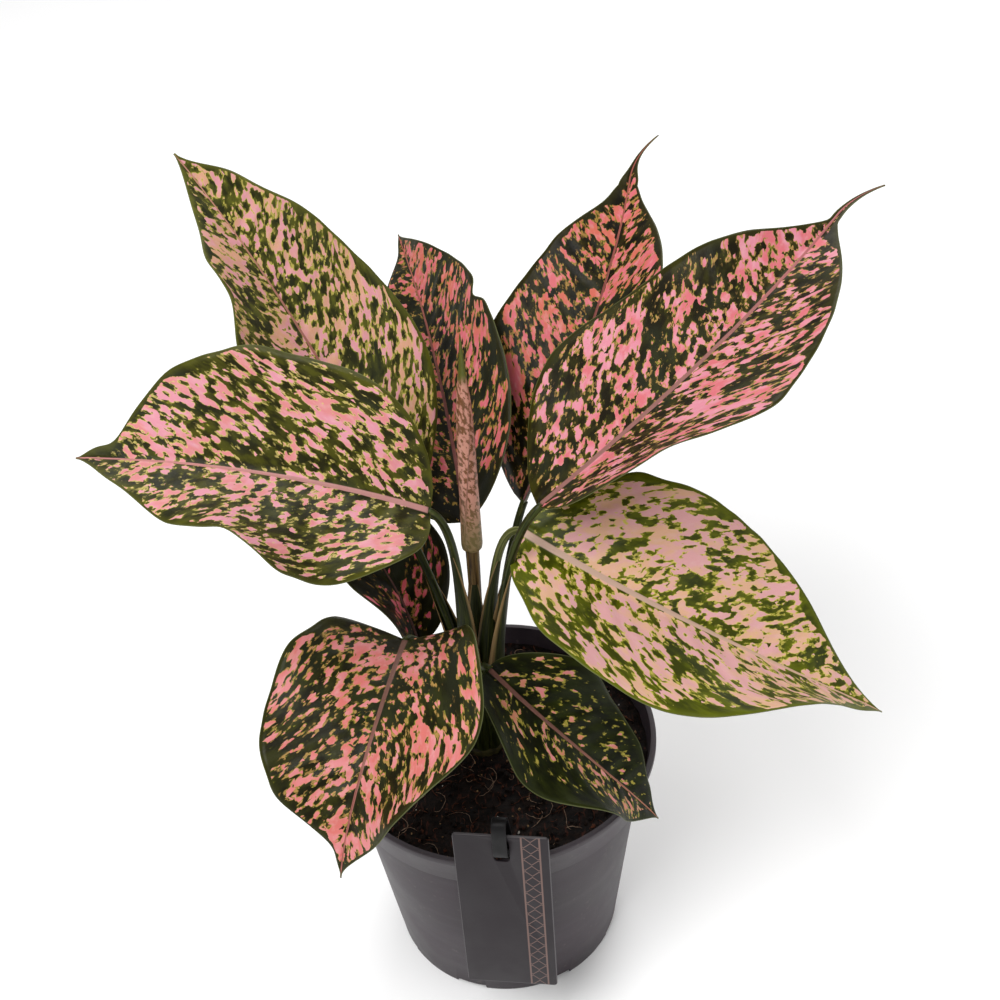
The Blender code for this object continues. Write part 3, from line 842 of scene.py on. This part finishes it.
def make_blade(leaf, seed):
    """A thin closed blade whose midrib lies in a groove above and stands proud below, with quilted veins."""
    look = LOOKS[leaf.name]
    cells = blade_cells(leaf, look.rib_half_width)
    points, veins = cells[..., :3], cells[..., 3:5]
    rib_ratio, edge_distance, share = np.moveaxis(cells[..., 5:], -1, 0)
    normals = grid_normals(points)
    if normals[len(normals) // 2, HALF_COLUMNS] @ midrib_frames(leaf, 2)[1][4] < 0:
        normals = -normals
    spread = ramp(edge_distance, 12.0) * ramp(rib_ratio, 6.0)
    quilt = VEIN_QUILT * spread * np.sin(tau * veins[..., 0] / VEIN_PITCH)
    quilt += PUCKER * spread * puckers(veins, seed)
    on_rib = np.exp(-(rib_ratio**2) * 1.2) * ramp(edge_distance, 3.0)
    beside_rib = np.exp(-((rib_ratio - 1.7) ** 2) * 2.5) * ramp(edge_distance, 3.0)
    half_thickness = THIN_EDGE + THICKER_INSIDE * ramp(edge_distance, 4.0)
    above = half_thickness + quilt + RIB_RAISE * on_rib - RIB_GROOVE * beside_rib
    keel = on_rib * look.rib_half_width * (1.05 - 0.75 * share)
    below = half_thickness - quilt + 0.9 * keel
    top = (points + normals * above[..., None]) * MM
    bottom = (points - normals * below[..., None]) * MM

    rows, columns = share.shape
    flat = np.concatenate([cells.reshape(rows * columns, -1)] * 2)
    underside = np.repeat([0.0, 1.0], rows * columns)
    uvs = {"veins": flat[:, 3:5], "place": flat[:, 5:7], "along": np.column_stack([flat[:, 7], underside])}
    skins = shell(top.reshape(-1, 3), bottom.reshape(-1, 3), rows, columns)
    blade = closed_mesh("blade_" + leaf.name, *skins, uvs)
    settle(blade, blade_material(leaf.name, look, seed), "blade", "leaf_" + leaf.name)


# ---------------------------------------------------------------- stalks

STALK_STEPS = 40
STALK_SUNK = 2.0 * MM
STALK_AROUND = 20
GROOVE_WIDTH = 0.12
SHEATH_COLUMNS = 17
SHEATH_WALL = 0.22 * MM


def bezier(a, b, c, d):
    """(point, direction) along a curve from a to d, which leaves towards b and arrives from c."""
    line = []
    for i in range(STALK_STEPS + 1):
        t = i / STALK_STEPS
        place = a * (1 - t) ** 3 + b * 3 * t * (1 - t) ** 2 + c * 3 * t**2 * (1 - t) + d * t**3
        slope = (b - a) * (1 - t) ** 2 + (c - b) * 2 * t * (1 - t) + (d - c) * t**2
        line.append((place, slope.normalized()))
    return line


def frames_along(line, outward):
    """Adds to each point of a line the direction nearest `outward`, and the one across it."""
    result = []
    for place, along in line:
        out = (outward - along * outward.dot(along)).normalized()
        result.append((place, along, out, along.cross(out)))
    return result


def lengths_along(line):
    """The length of a line up to each of its points, in millimetres."""
    steps = [(b[0] - a[0]).length / MM for a, b in zip(line, line[1:])]
    return itertools.accumulate(steps, initial=0.0)


def make_tube(name, line, radii, groove):
    """A stalk along a line, with a shallow groove on its inner side."""
    rings, uvs = [], []
    for i, ((place, _, out, across), length) in enumerate(zip(line, lengths_along(line))):
        radius = blend(radii, i / STALK_STEPS)
        ring = []
        for step in range(STALK_AROUND):
            angle = tau * step / STALK_AROUND
            dent = groove * exp(-((1 + cos(angle)) / GROOVE_WIDTH))
            ring.append(place + spoke(out, across, angle) * (radius * (1 - dent)))
            uvs.append((step / STALK_AROUND, length))
        rings.append(ring)
    return sweep(name, rings, uvs)


def make_sheath(name, line, radii, length_share, breadth):
    """A thin leaf sheath that clasps the outer side of a stalk's foot and narrows upwards."""
    rows = int(len(line) * length_share)
    outer, inner, uvs = [], [], []
    for i, ((place, _, out, across), length) in enumerate(zip(line[:rows], lengths_along(line))):
        share = i / (rows - 1)
        stalk_radius = blend(radii, i / STALK_STEPS) + (0.25 - 0.2 * share) * MM
        radius = stalk_radius + breadth * (1 - share) * min(1.0, 0.4 + 2.0 * share)
        middle = place - out * (radius - stalk_radius)
        span = radians(125 - 95 * share**3)
        for column in range(SHEATH_COLUMNS):
            part = column / (SHEATH_COLUMNS - 1)
            direction = spoke(out, across, span * (2 * part - 1))
            outer.append(middle + direction * radius)
            inner.append(middle + direction * (radius - SHEATH_WALL))
            uvs.append((part, length))
    return closed_mesh(name, *shell(outer, inner, rows, SHEATH_COLUMNS), {"stalk": uvs + uvs})


def make_stalk(name, line, radii, groove, clasp_share, clasp_breadth, skins):
    """A stalk and the leaf sheath round its foot. skins holds their two materials."""
    stalk = make_tube("stalk_piece_" + name, line, radii, groove)
    settle(stalk, skins[0], "stalk_skin", "stalk_" + name)
    clasp = make_sheath("sheath_" + name, line, radii, clasp_share, clasp_breadth)
    settle(clasp, skins[1], "stalk_skin")


def stalk_line(leaf):
    """From its slot on the stump straight up, and into the blade along the midrib."""
    slot = radians(leaf.slot)
    outward = Vector((cos(slot), sin(slot), 0.0))
    foot = CROWN + outward * RING_RADIUS - UP * STALK_SUNK
    direction = Vector(midrib_direction(leaf, 0.0)[1])
    top = Vector(leaf.base) * MM + direction * 1.0 * MM
    low_handle = foot + UP * (STALK_RISE * (top.z - foot.z))
    return frames_along(bezier(foot, low_handle, top - direction * leaf.reach * MM, top), outward)


def new_stalk_line():
    """From the middle of the stump into the rolled leaf."""
    along = (NEW_LEAF_TIP - NEW_LEAF_FOOT).normalized()
    foot = CROWN - UP * STALK_SUNK
    top = NEW_LEAF_FOOT + along * 1.5 * MM
    third = (top.z - foot.z) / 3
    return frames_along(bezier(foot, foot + UP * third, top - along * third, top), AHEAD)


# The rolled leaf's outline, as (share of its length, share of its radius).
SPINDLE = (
    (0.0, 0.8), (0.004, 1.0), (0.03, 1.1), (0.25, 1.0), (0.5, 0.92), (0.64, 0.84),
    (0.72, 0.7), (0.78, 0.52), (0.82, 0.4), (0.88, 0.28), (0.94, 0.16), (1.0, 0.04),
)
SPINDLE_ROWS = 90
SPINDLE_AROUND = 48
# The free edge's angle at the foot, how far it winds up the spindle, and how far it stands out.
SEAM_START = -0.9
SEAM_WIND = 2.4
SEAM_STEP = 0.16


def make_rolled_leaf(skin):
    """The youngest leaf, rolled into a spindle with its free edge winding up it."""
    axis = NEW_LEAF_TIP - NEW_LEAF_FOOT
    shares, widths = zip(*SPINDLE)
    along = axis.normalized()
    line = [(NEW_LEAF_FOOT + axis * (row / SPINDLE_ROWS), along) for row in range(SPINDLE_ROWS + 1)]
    rings, uvs = [], []
    for row, (place, _, out, across) in enumerate(frames_along(line, AHEAD)):
        share = row / SPINDLE_ROWS
        radius = NEW_LEAF_RADIUS * float(np.interp(share, shares, widths))
        ring = []
        for step in range(SPINDLE_AROUND):
            turn = step / SPINDLE_AROUND
            angle = SEAM_START + SEAM_WIND * share + tau * turn
            reach = radius * (1.0 - SEAM_STEP * (1.0 - turn))
            ring.append(place + spoke(out, across, angle) * reach)
            uvs.append((turn, share * axis.length / MM))
        rings.append(ring)
    leaf = sweep("rolled_leaf", rings, uvs)
    settle(leaf, skin, "young_blade", "new_leaf")
    smooth_by_angle(leaf, 40)


# ---------------------------------------------------------------- pot and soil

COLLAR_FOOT = POT_HEIGHT - COLLAR_HEIGHT
LIP = 0.6 * MM
WALL_TOP_RADIUS = RIM_RADIUS - COLLAR_FLARE - COLLAR_STEP


def pot_wall_radius(height):
    """The wall's outer radius below the collar."""
    return blend((FOOT_RADIUS, WALL_TOP_RADIUS), height / COLLAR_FOOT)


def pot_profile():
    """(radius, height) from the rim down the outside, across the underside and up the inside."""
    collar = RIM_RADIUS - COLLAR_FLARE
    ring_inside = FOOT_RADIUS - FOOT_RING
    line_height = 12 * MM
    return (
        (RIM_RADIUS - 1.5 * LIP, POT_HEIGHT),
        (RIM_RADIUS - 0.6 * LIP, POT_HEIGHT - 0.1 * LIP),
        (RIM_RADIUS - 0.1 * LIP, POT_HEIGHT - 0.6 * LIP),
        (RIM_RADIUS, POT_HEIGHT - 1.4 * LIP),
        (RIM_RADIUS, POT_HEIGHT - 4 * LIP),
        (RIM_RADIUS - 0.4 * LIP, POT_HEIGHT - 4.6 * LIP),
        (collar, COLLAR_FOOT + 1.0 * LIP),
        (collar - 0.2 * LIP, COLLAR_FOOT + 0.3 * LIP),
        (collar - 0.9 * LIP, COLLAR_FOOT),
        (WALL_TOP_RADIUS + 0.6 * LIP, COLLAR_FOOT),
        (WALL_TOP_RADIUS, COLLAR_FOOT - 0.6 * LIP),
        (WALL_TOP_RADIUS - 0.1 * LIP, COLLAR_FOOT - 3 * LIP),
        (pot_wall_radius(50 * MM), 50 * MM),
        (pot_wall_radius(line_height), line_height),
        (pot_wall_radius(line_height) - 0.3 * LIP, line_height - 0.4 * MM),
        (pot_wall_radius(2 * LIP), 2 * LIP),
        (FOOT_RADIUS - 0.4 * LIP, 0.3 * LIP),
        (FOOT_RADIUS - LIP, 0.0),
        (ring_inside, 0.0),
        (ring_inside - 0.2 * LIP, 0.3 * LIP),
        (ring_inside - 0.3 * LIP, FLOOR_RAISE),
        (CENTRE_FOOT_RADIUS + 0.3 * LIP, FLOOR_RAISE),
        (CENTRE_FOOT_RADIUS, 0.0),
        (0.0, 0.0),
        (0.0, FLOOR_TOP),
        (pot_wall_radius(FLOOR_TOP) - POT_WALL, FLOOR_TOP),
        (WALL_TOP_RADIUS - POT_WALL, COLLAR_FOOT),
        (collar - POT_WALL, COLLAR_FOOT + 2 * LIP),
        (RIM_RADIUS - POT_WALL - LIP, POT_HEIGHT - 2 * LIP),
        (RIM_RADIUS - POT_WALL - 0.6 * LIP, POT_HEIGHT - 0.3 * LIP),
        (RIM_RADIUS - 1.5 * LIP, POT_HEIGHT),
    )


def drain_holes():
    """A ring of round cutters through the pot's floor."""
    drains = bmesh.new()
    for centre in circle(DRAIN_CIRCLE, 0.0, DRAIN_HOLES):
        made = bmesh.ops.create_cone(drains, cap_ends=True, segments=32, radius1=DRAIN_RADIUS,
                                     radius2=DRAIN_RADIUS, depth=4 * FLOOR_TOP)
        bmesh.ops.translate(drains, vec=centre, verts=made["verts"])
    return cutter("drains", drains)


def foot_notches():
    """Low box cutters round the foot ring."""
    notches = bmesh.new()
    for i in range(FOOT_NOTCHES):
        made = bmesh.ops.create_cube(notches, size=1.0)
        bmesh.ops.scale(notches, vec=(4 * FOOT_RING, NOTCH_WIDTH, 2 * NOTCH_HEIGHT), verts=made["verts"])
        bmesh.ops.translate(notches, vec=(FOOT_RADIUS, 0.0, 0.0), verts=made["verts"])
        turn = Matrix.Rotation(tau * (i + 0.5) / FOOT_NOTCHES, 3, "Z")
        bmesh.ops.rotate(notches, cent=(0.0, 0.0, 0.0), matrix=turn, verts=made["verts"])
    return cutter("notches", notches)


def make_pot():
    pot = lathe("nursery_pot", pot_profile(), 160)
    cut(pot, drain_holes())
    cut(pot, foot_notches())
    smooth_by_angle(pot, 35)
    settle(pot, pot_material(), "pot_plastic", "pot")


def inner_wall_radius(height):
    """The pot's inner radius where the soil meets it."""
    if height < COLLAR_FOOT:
        return pot_wall_radius(height) - POT_WALL
    share = (height - COLLAR_FOOT) / COLLAR_HEIGHT
    return RIM_RADIUS - POT_WALL - COLLAR_FLARE * (1 - share)


# The soil's lumps, as (size across, height), in millimetres.
SOIL_LUMPS = ((14.0, 1.0), (5.0, 0.75), (1.9, 0.45))
SOIL_DROP = 1.4 * MM
SOIL_HEAP = 0.8 * MM
SOIL_HEAP_RADIUS = 14 * MM
SOIL_DISH = 1.6 * MM
SOIL_RINGS = 90
SOIL_AROUND = 260


def soil_height(x, y):
    """The lumpy top of the soil, in metres: heaped at the crown and lower towards the wall."""
    place = Vector((x, y, 0.0)) / MM
    lumps = sum(noise.noise(place / size) * height for size, height in SOIL_LUMPS) * MM
    from_crown = hypot(x - CROWN.x, y - CROWN.y)
    heaped = SOIL_HEAP * exp(-((from_crown / SOIL_HEAP_RADIUS) ** 2))
    sunk = SOIL_DISH * (hypot(x, y) / RIM_RADIUS) ** 2
    return SOIL_TOP - SOIL_DROP - sunk + heaped + lumps


def make_soil(material):
    """The soil's rough top and its body down to the pot's floor."""
    edge = inner_wall_radius(SOIL_TOP) + 0.4 * MM
    points = []
    for number in range(1, SOIL_RINGS + 1):
        for x, y, _ in circle(edge * number / SOIL_RINGS, 0.0, SOIL_AROUND):
            points.append((x, y, soil_height(x, y)))
    sides = (COLLAR_FOOT - GAP, 40 * MM, FLOOR_TOP + GAP)
    for height in sides:
        points += circle(inner_wall_radius(height) - GAP, height, SOIL_AROUND)
    rows = SOIL_RINGS + len(sides)
    faces = grid_faces(rows, SOIL_AROUND, close=True)
    middle = len(points)
    points.append((0.0, 0.0, soil_height(0.0, 0.0)))
    faces += [(middle, i, (i + 1) % SOIL_AROUND) for i in range(SOIL_AROUND)]
    faces.append(tuple(range(middle - SOIL_AROUND, middle))[::-1])
    settle(closed_mesh("potting_soil", points, faces), material, "peat", "soil")


def soil_spots(rng, count, margin):
    """Random places on the soil that keep clear of the crown and the wall."""
    edge = inner_wall_radius(SOIL_TOP) - margin
    spots = []
    while len(spots) < count:
        radius = edge * sqrt(rng.random())
        angle = rng.uniform(0.0, tau)
        x, y = radius * cos(angle), radius * sin(angle)
        if hypot(x - CROWN.x, y - CROWN.y) > STEM_RADIUS + 1.5 * MM:
            spots.append(Vector((x, y, soil_height(x, y))))
    return spots


def add_lump(shape, rng, centre, size):
    """Adds one small irregular crumb."""
    made = bmesh.ops.create_icosphere(shape, subdivisions=1, radius=1.0)
    turn = Quaternion([rng.gauss(0, 1) for _ in range(4)]).normalized()
    stretch = Vector((rng.uniform(0.7, 1.3), rng.uniform(0.7, 1.1), rng.uniform(0.5, 0.9)))
    for vert in made["verts"]:
        knobbed = vert.co * (size * rng.uniform(0.72, 1.15))
        vert.co = turn @ (knobbed * stretch) + centre


def make_lumps(name, material, count, sizes, seed):
    """Crumbs that lie on the soil with their middles a little above it."""
    rng = random.Random(seed)
    shape = bmesh.new()
    for spot in soil_spots(rng, count, 3 * MM):
        size = rng.uniform(*sizes) * MM
        add_lump(shape, rng, spot + UP * (0.3 * size), size)
    settle(object_from(name, shape), material, "peat")


THREAD_AROUND = 6
THREAD_STEP = 0.8 * MM


def make_threads(name, material, count, lengths, radii, wander, seed):
    """Curly roots or straight fibres that lie on the soil."""
    rng = random.Random(seed)
    limit = inner_wall_radius(SOIL_TOP) - 1.2 * MM
    points, faces = [], []
    for place in soil_spots(rng, count, 6 * MM):
        length = rng.uniform(*lengths) * MM
        radius = rng.uniform(*radii) * MM
        heading = rng.uniform(0.0, tau)
        bend = rng.uniform(-wander, wander)
        steps = max(6, int(length / THREAD_STEP))
        start = len(points)
        for step in range(steps + 1):
            share = step / steps
            along = Vector((cos(heading), sin(heading), 0.0))
            side = Vector((-along.y, along.x, 0.0))
            lift = radius * 0.9 + sin(pi * share) * rng.uniform(0.1, 0.5) * MM
            centre = Vector((place.x, place.y, soil_height(place.x, place.y) + lift))
            thick = radius * (1.0 - 0.6 * abs(2 * share - 1) ** 3)
            for i in range(THREAD_AROUND):
                points.append(centre + spoke(side, UP, tau * i / THREAD_AROUND) * thick)
            heading += (bend + rng.gauss(0, wander * 0.6)) / steps * 6
            place = place + along * (length / steps)
            if hypot(place.x, place.y) > limit:
                heading += 0.9
        faces += tube_faces(steps + 1, THREAD_AROUND, start)
    settle(closed_mesh(name, points, faces), material, "peat")


def make_stem(material):
    """The stump from which the stalks rise, with the ring scars of old leaves."""
    radius, top = STEM_RADIUS, CROWN.z
    scar_pitch = 1.2 * MM
    profile = [(0.0, top), (radius - 1.6 * MM, top), (radius - 0.5 * MM, top - 0.5 * MM)]
    for i in range(12):
        profile.append((radius - 0.35 * MM * (i % 2), top - scar_pitch * (i + 1)))
    profile.append((0.0, top - 17.5 * MM))
    stem = lathe("stem_stump", profile, 48)
    stem.data.transform(Matrix.Translation((CROWN.x, CROWN.y, 0.0)))
    settle(stem, material, "stem_skin", "stem")


# ---------------------------------------------------------------- card and strap

TURNED = Matrix.Rotation(CARD_TURN, 4, "Z")
SPLINE_STEPS = 6


def rounded_outline(width, height, corner, steps):
    """Points round a rectangle with round corners, each of them an arc of this many steps."""
    outline = []
    for turn, right, up in ((0, 1, 1), (90, -1, 1), (180, -1, -1), (270, 1, -1)):
        for step in range(steps + 1):
            angle = radians(turn + 90 * step / steps)
            outline.append((right * (width / 2 - corner) + corner * cos(angle),
                            up * (height / 2 - corner) + corner * sin(angle)))
    return outline


def slab(name, width, height, thickness):
    """A flat plate with round corners in the XZ plane."""
    outline = rounded_outline(width, height, CARD_CORNER, 6)
    count = len(outline)
    points = [(x, y, z) for y in (-thickness / 2, thickness / 2) for x, z in outline]
    faces = [tuple(range(count)), tuple(range(count, 2 * count))[::-1]]
    faces += [(i, (i + 1) % count, (i + 1) % count + count, i + count) for i in range(count)]
    return closed_mesh(name, points, faces, smooth=False)


def make_card():
    """The card hangs a little turned, just in front of the rim."""
    card = slab("name_card", CARD_WIDTH, CARD_HEIGHT, CARD_THICKNESS)
    slot = slab("slot", SLOT_WIDTH, SLOT_HEIGHT, 4 * CARD_THICKNESS)
    slot.data.transform(Matrix.Translation((0.0, 0.0, CARD_HEIGHT / 2 - SLOT_DROP - SLOT_HEIGHT / 2)))
    cut(card, slot)
    bevel = card.modifiers.new("soft edge", "BEVEL")
    bevel.width = 0.12 * MM
    bevel.segments = 2
    bevel.limit_method = "ANGLE"
    apply_modifiers(card)
    ahead = RIM_RADIUS + GAP + CARD_THICKNESS / 2
    card.matrix_world = TURNED @ Matrix.Translation((CARD_SHIFT, -ahead, CARD_TOP - CARD_HEIGHT / 2))
    smooth_by_angle(card, 30)
    settle(card, card_material(), "card", "label_card")


def smoothed(line):
    """A Catmull-Rom curve through a line's points."""
    curve = []
    for a, b, c, d in zip([line[0]] + line[:-2], line[:-1], line[1:], line[2:] + [line[-1]]):
        for step in range(SPLINE_STEPS):
            t = step / SPLINE_STEPS
            square = (2 * a - 5 * b + 4 * c - d) * t**2
            curve.append(0.5 * (2 * b + (c - a) * t + square + (3 * b - 3 * c + d - a) * t**3))
    return [*curve, line[-1]]


def make_strap():
    """The strap that rises from the soil, bends over the card and ends in its slot."""
    curve = smoothed([Vector(place) * MM for place in STRAP_PATH])
    section = rounded_outline(STRAP_WIDTH, STRAP_THICKNESS, 0.25 * MM, 3)
    rings = []
    for before, place, after in zip([curve[0]] + curve[:-1], curve, curve[1:] + [curve[-1]]):
        along = (after - before).normalized()
        across = Vector((-along.y, along.x))
        spots = [(side, place + across * up) for side, up in section]
        rings.append([(CARD_SHIFT + side, -spot.x, spot.y) for side, spot in spots])
    strap = sweep("card_strap", rings, [(0.0, 0.0)] * (len(rings) * len(section)))
    strap.data.transform(TURNED)
    smooth_by_angle(strap, 45)
    settle(strap, strap_material(), "strap_plastic", "label_strap")


# ---------------------------------------------------------------- surroundings

FLOOR_REACH = 4.0
LOOK_AT = Vector((0.0, 0.0, 0.18))
# Each lamp: name, place, diameter and power.
LAMPS = (
    ("key", (-0.5, -0.6, 1.35), 0.9, 17.0),
    ("fill", (1.0, -0.6, 0.8), 1.0, 2.0),
    ("back", (0.3, 0.9, 1.1), 0.9, 7.0),
)
SKY_STRENGTH = 0.55
CAMERA_PLACE = (0.0086, -0.4154, 0.5457)
CAMERA_PITCH = radians(38.95)
CAMERA_ROLL = radians(-4.32)
LENS = 58.4
SENSOR = 36.0


def make_floor():
    corners = [(x * FLOOR_REACH, y * FLOOR_REACH, 0.0) for x, y in ((-1, -1), (1, -1), (1, 1), (-1, 1))]
    floor = make_mesh("floor", corners, [(0, 1, 2, 3)], smooth=False)
    nodes = Nodes("floor", light=1.0)
    cloud = nodes.noise(nodes.place(), 6.0)
    colour = nodes.mix(cloud, (250, 250, 250), (253, 253, 253))
    floor.data.materials.append(nodes.finish(colour, nodes.rough(cloud, 0.85, 0.95), 0.1))


def make_lights():
    for name, place, size, power in LAMPS:
        lamp = bpy.data.lights.new(name, "AREA")
        lamp.shape = "DISK"
        lamp.size = size
        lamp.energy = power
        obj = add_object(name, lamp)
        obj.location = place
        obj.rotation_euler = (LOOK_AT - Vector(place)).to_track_quat("-Z", "Y").to_euler()
    world = bpy.data.worlds.new("studio")
    world.use_nodes = True
    sky = world.node_tree.nodes["Background"].inputs
    sky["Color"].default_value = (1.0, 1.0, 1.0, 1.0)
    sky["Strength"].default_value = SKY_STRENGTH
    bpy.context.scene.world = world
    bpy.context.scene.view_settings.view_transform = "Standard"


def make_camera():
    """In front of the plant, looking down on it, and turned a little about the line of sight."""
    data = bpy.data.cameras.new("camera")
    data.lens = LENS
    data.sensor_width = SENSOR
    camera = add_object("camera", data)
    forward = Vector((0.0, cos(CAMERA_PITCH), -sin(CAMERA_PITCH)))
    level_right = Vector((1.0, 0.0, 0.0))
    level_up = level_right.cross(forward)
    right = spoke(level_right, level_up, CAMERA_ROLL)
    up = spoke(level_up, -level_right, CAMERA_ROLL)
    turned = Matrix((right, up, -forward)).transposed().to_4x4()
    camera.matrix_world = Matrix.Translation(CAMERA_PLACE) @ turned
    bpy.context.scene.camera = camera


def make_ground():
    """The soil, and what lies on it."""
    peat = peat_material()
    make_soil(peat)
    bark = speck_material("bark", (50, 30, 20), (108, 62, 42), 700.0, 0.8)
    perlite = speck_material("perlite", (196, 188, 176), (236, 232, 224), 900.0, 0.75)
    straw = speck_material("straw", (112, 80, 54), (180, 146, 104), 700.0, 0.75)
    root = speck_material("root", (120, 92, 74), (178, 150, 126), 800.0, 0.6)
    make_lumps("peat_crumbs", peat, 620, (0.5, 1.5), SEED)
    make_lumps("bark_crumbs", bark, 150, (0.4, 1.1), SEED + 1)
    make_lumps("perlite_grains", perlite, 40, (0.25, 0.6), SEED + 2)
    make_lumps("straw_crumbs", straw, 90, (0.25, 0.7), SEED + 5)
    make_threads("bark_fibres", bark, 260, (3.0, 9.0), (0.10, 0.26), 0.5, SEED + 3)
    make_threads("fine_roots", root, 70, (5.0, 16.0), (0.08, 0.16), 0.7, SEED + 4)


def make_plant():
    stalk = stalk_material("stalk", (28, 34, 12), (68, 76, 30))
    light_stalk = stalk_material("light_stalk", (70, 76, 34), (124, 126, 72))
    new_stalk = stalk_material("new_stalk", (70, 50, 20), (150, 118, 68))
    sheath = sheath_material()
    make_stem(speck_material("stump", (40, 34, 20), (84, 78, 42), 300.0, 0.55))
    radii = (STALK_FOOT_RADIUS, STALK_TOP_RADIUS)
    for i, leaf in enumerate(LEAVES):
        make_blade(leaf, BLADE_SEED_STEP * (i + 1))
        skins = (light_stalk if leaf.name == "right" else stalk, sheath)
        make_stalk(leaf.name, stalk_line(leaf), radii, 0.28, 0.7, 3.6 * MM, skins)
    make_rolled_leaf(new_leaf_material())
    radii = (NEW_STALK_RADIUS, 0.88 * NEW_STALK_RADIUS)
    make_stalk("new_leaf", new_stalk_line(), radii, 0.2, 0.85, 3.0 * MM, (new_stalk, sheath))


def main():
    make_camera()
    make_lights()
    make_floor()
    make_pot()
    make_ground()
    make_plant()
    make_card()
    make_strap()


main()
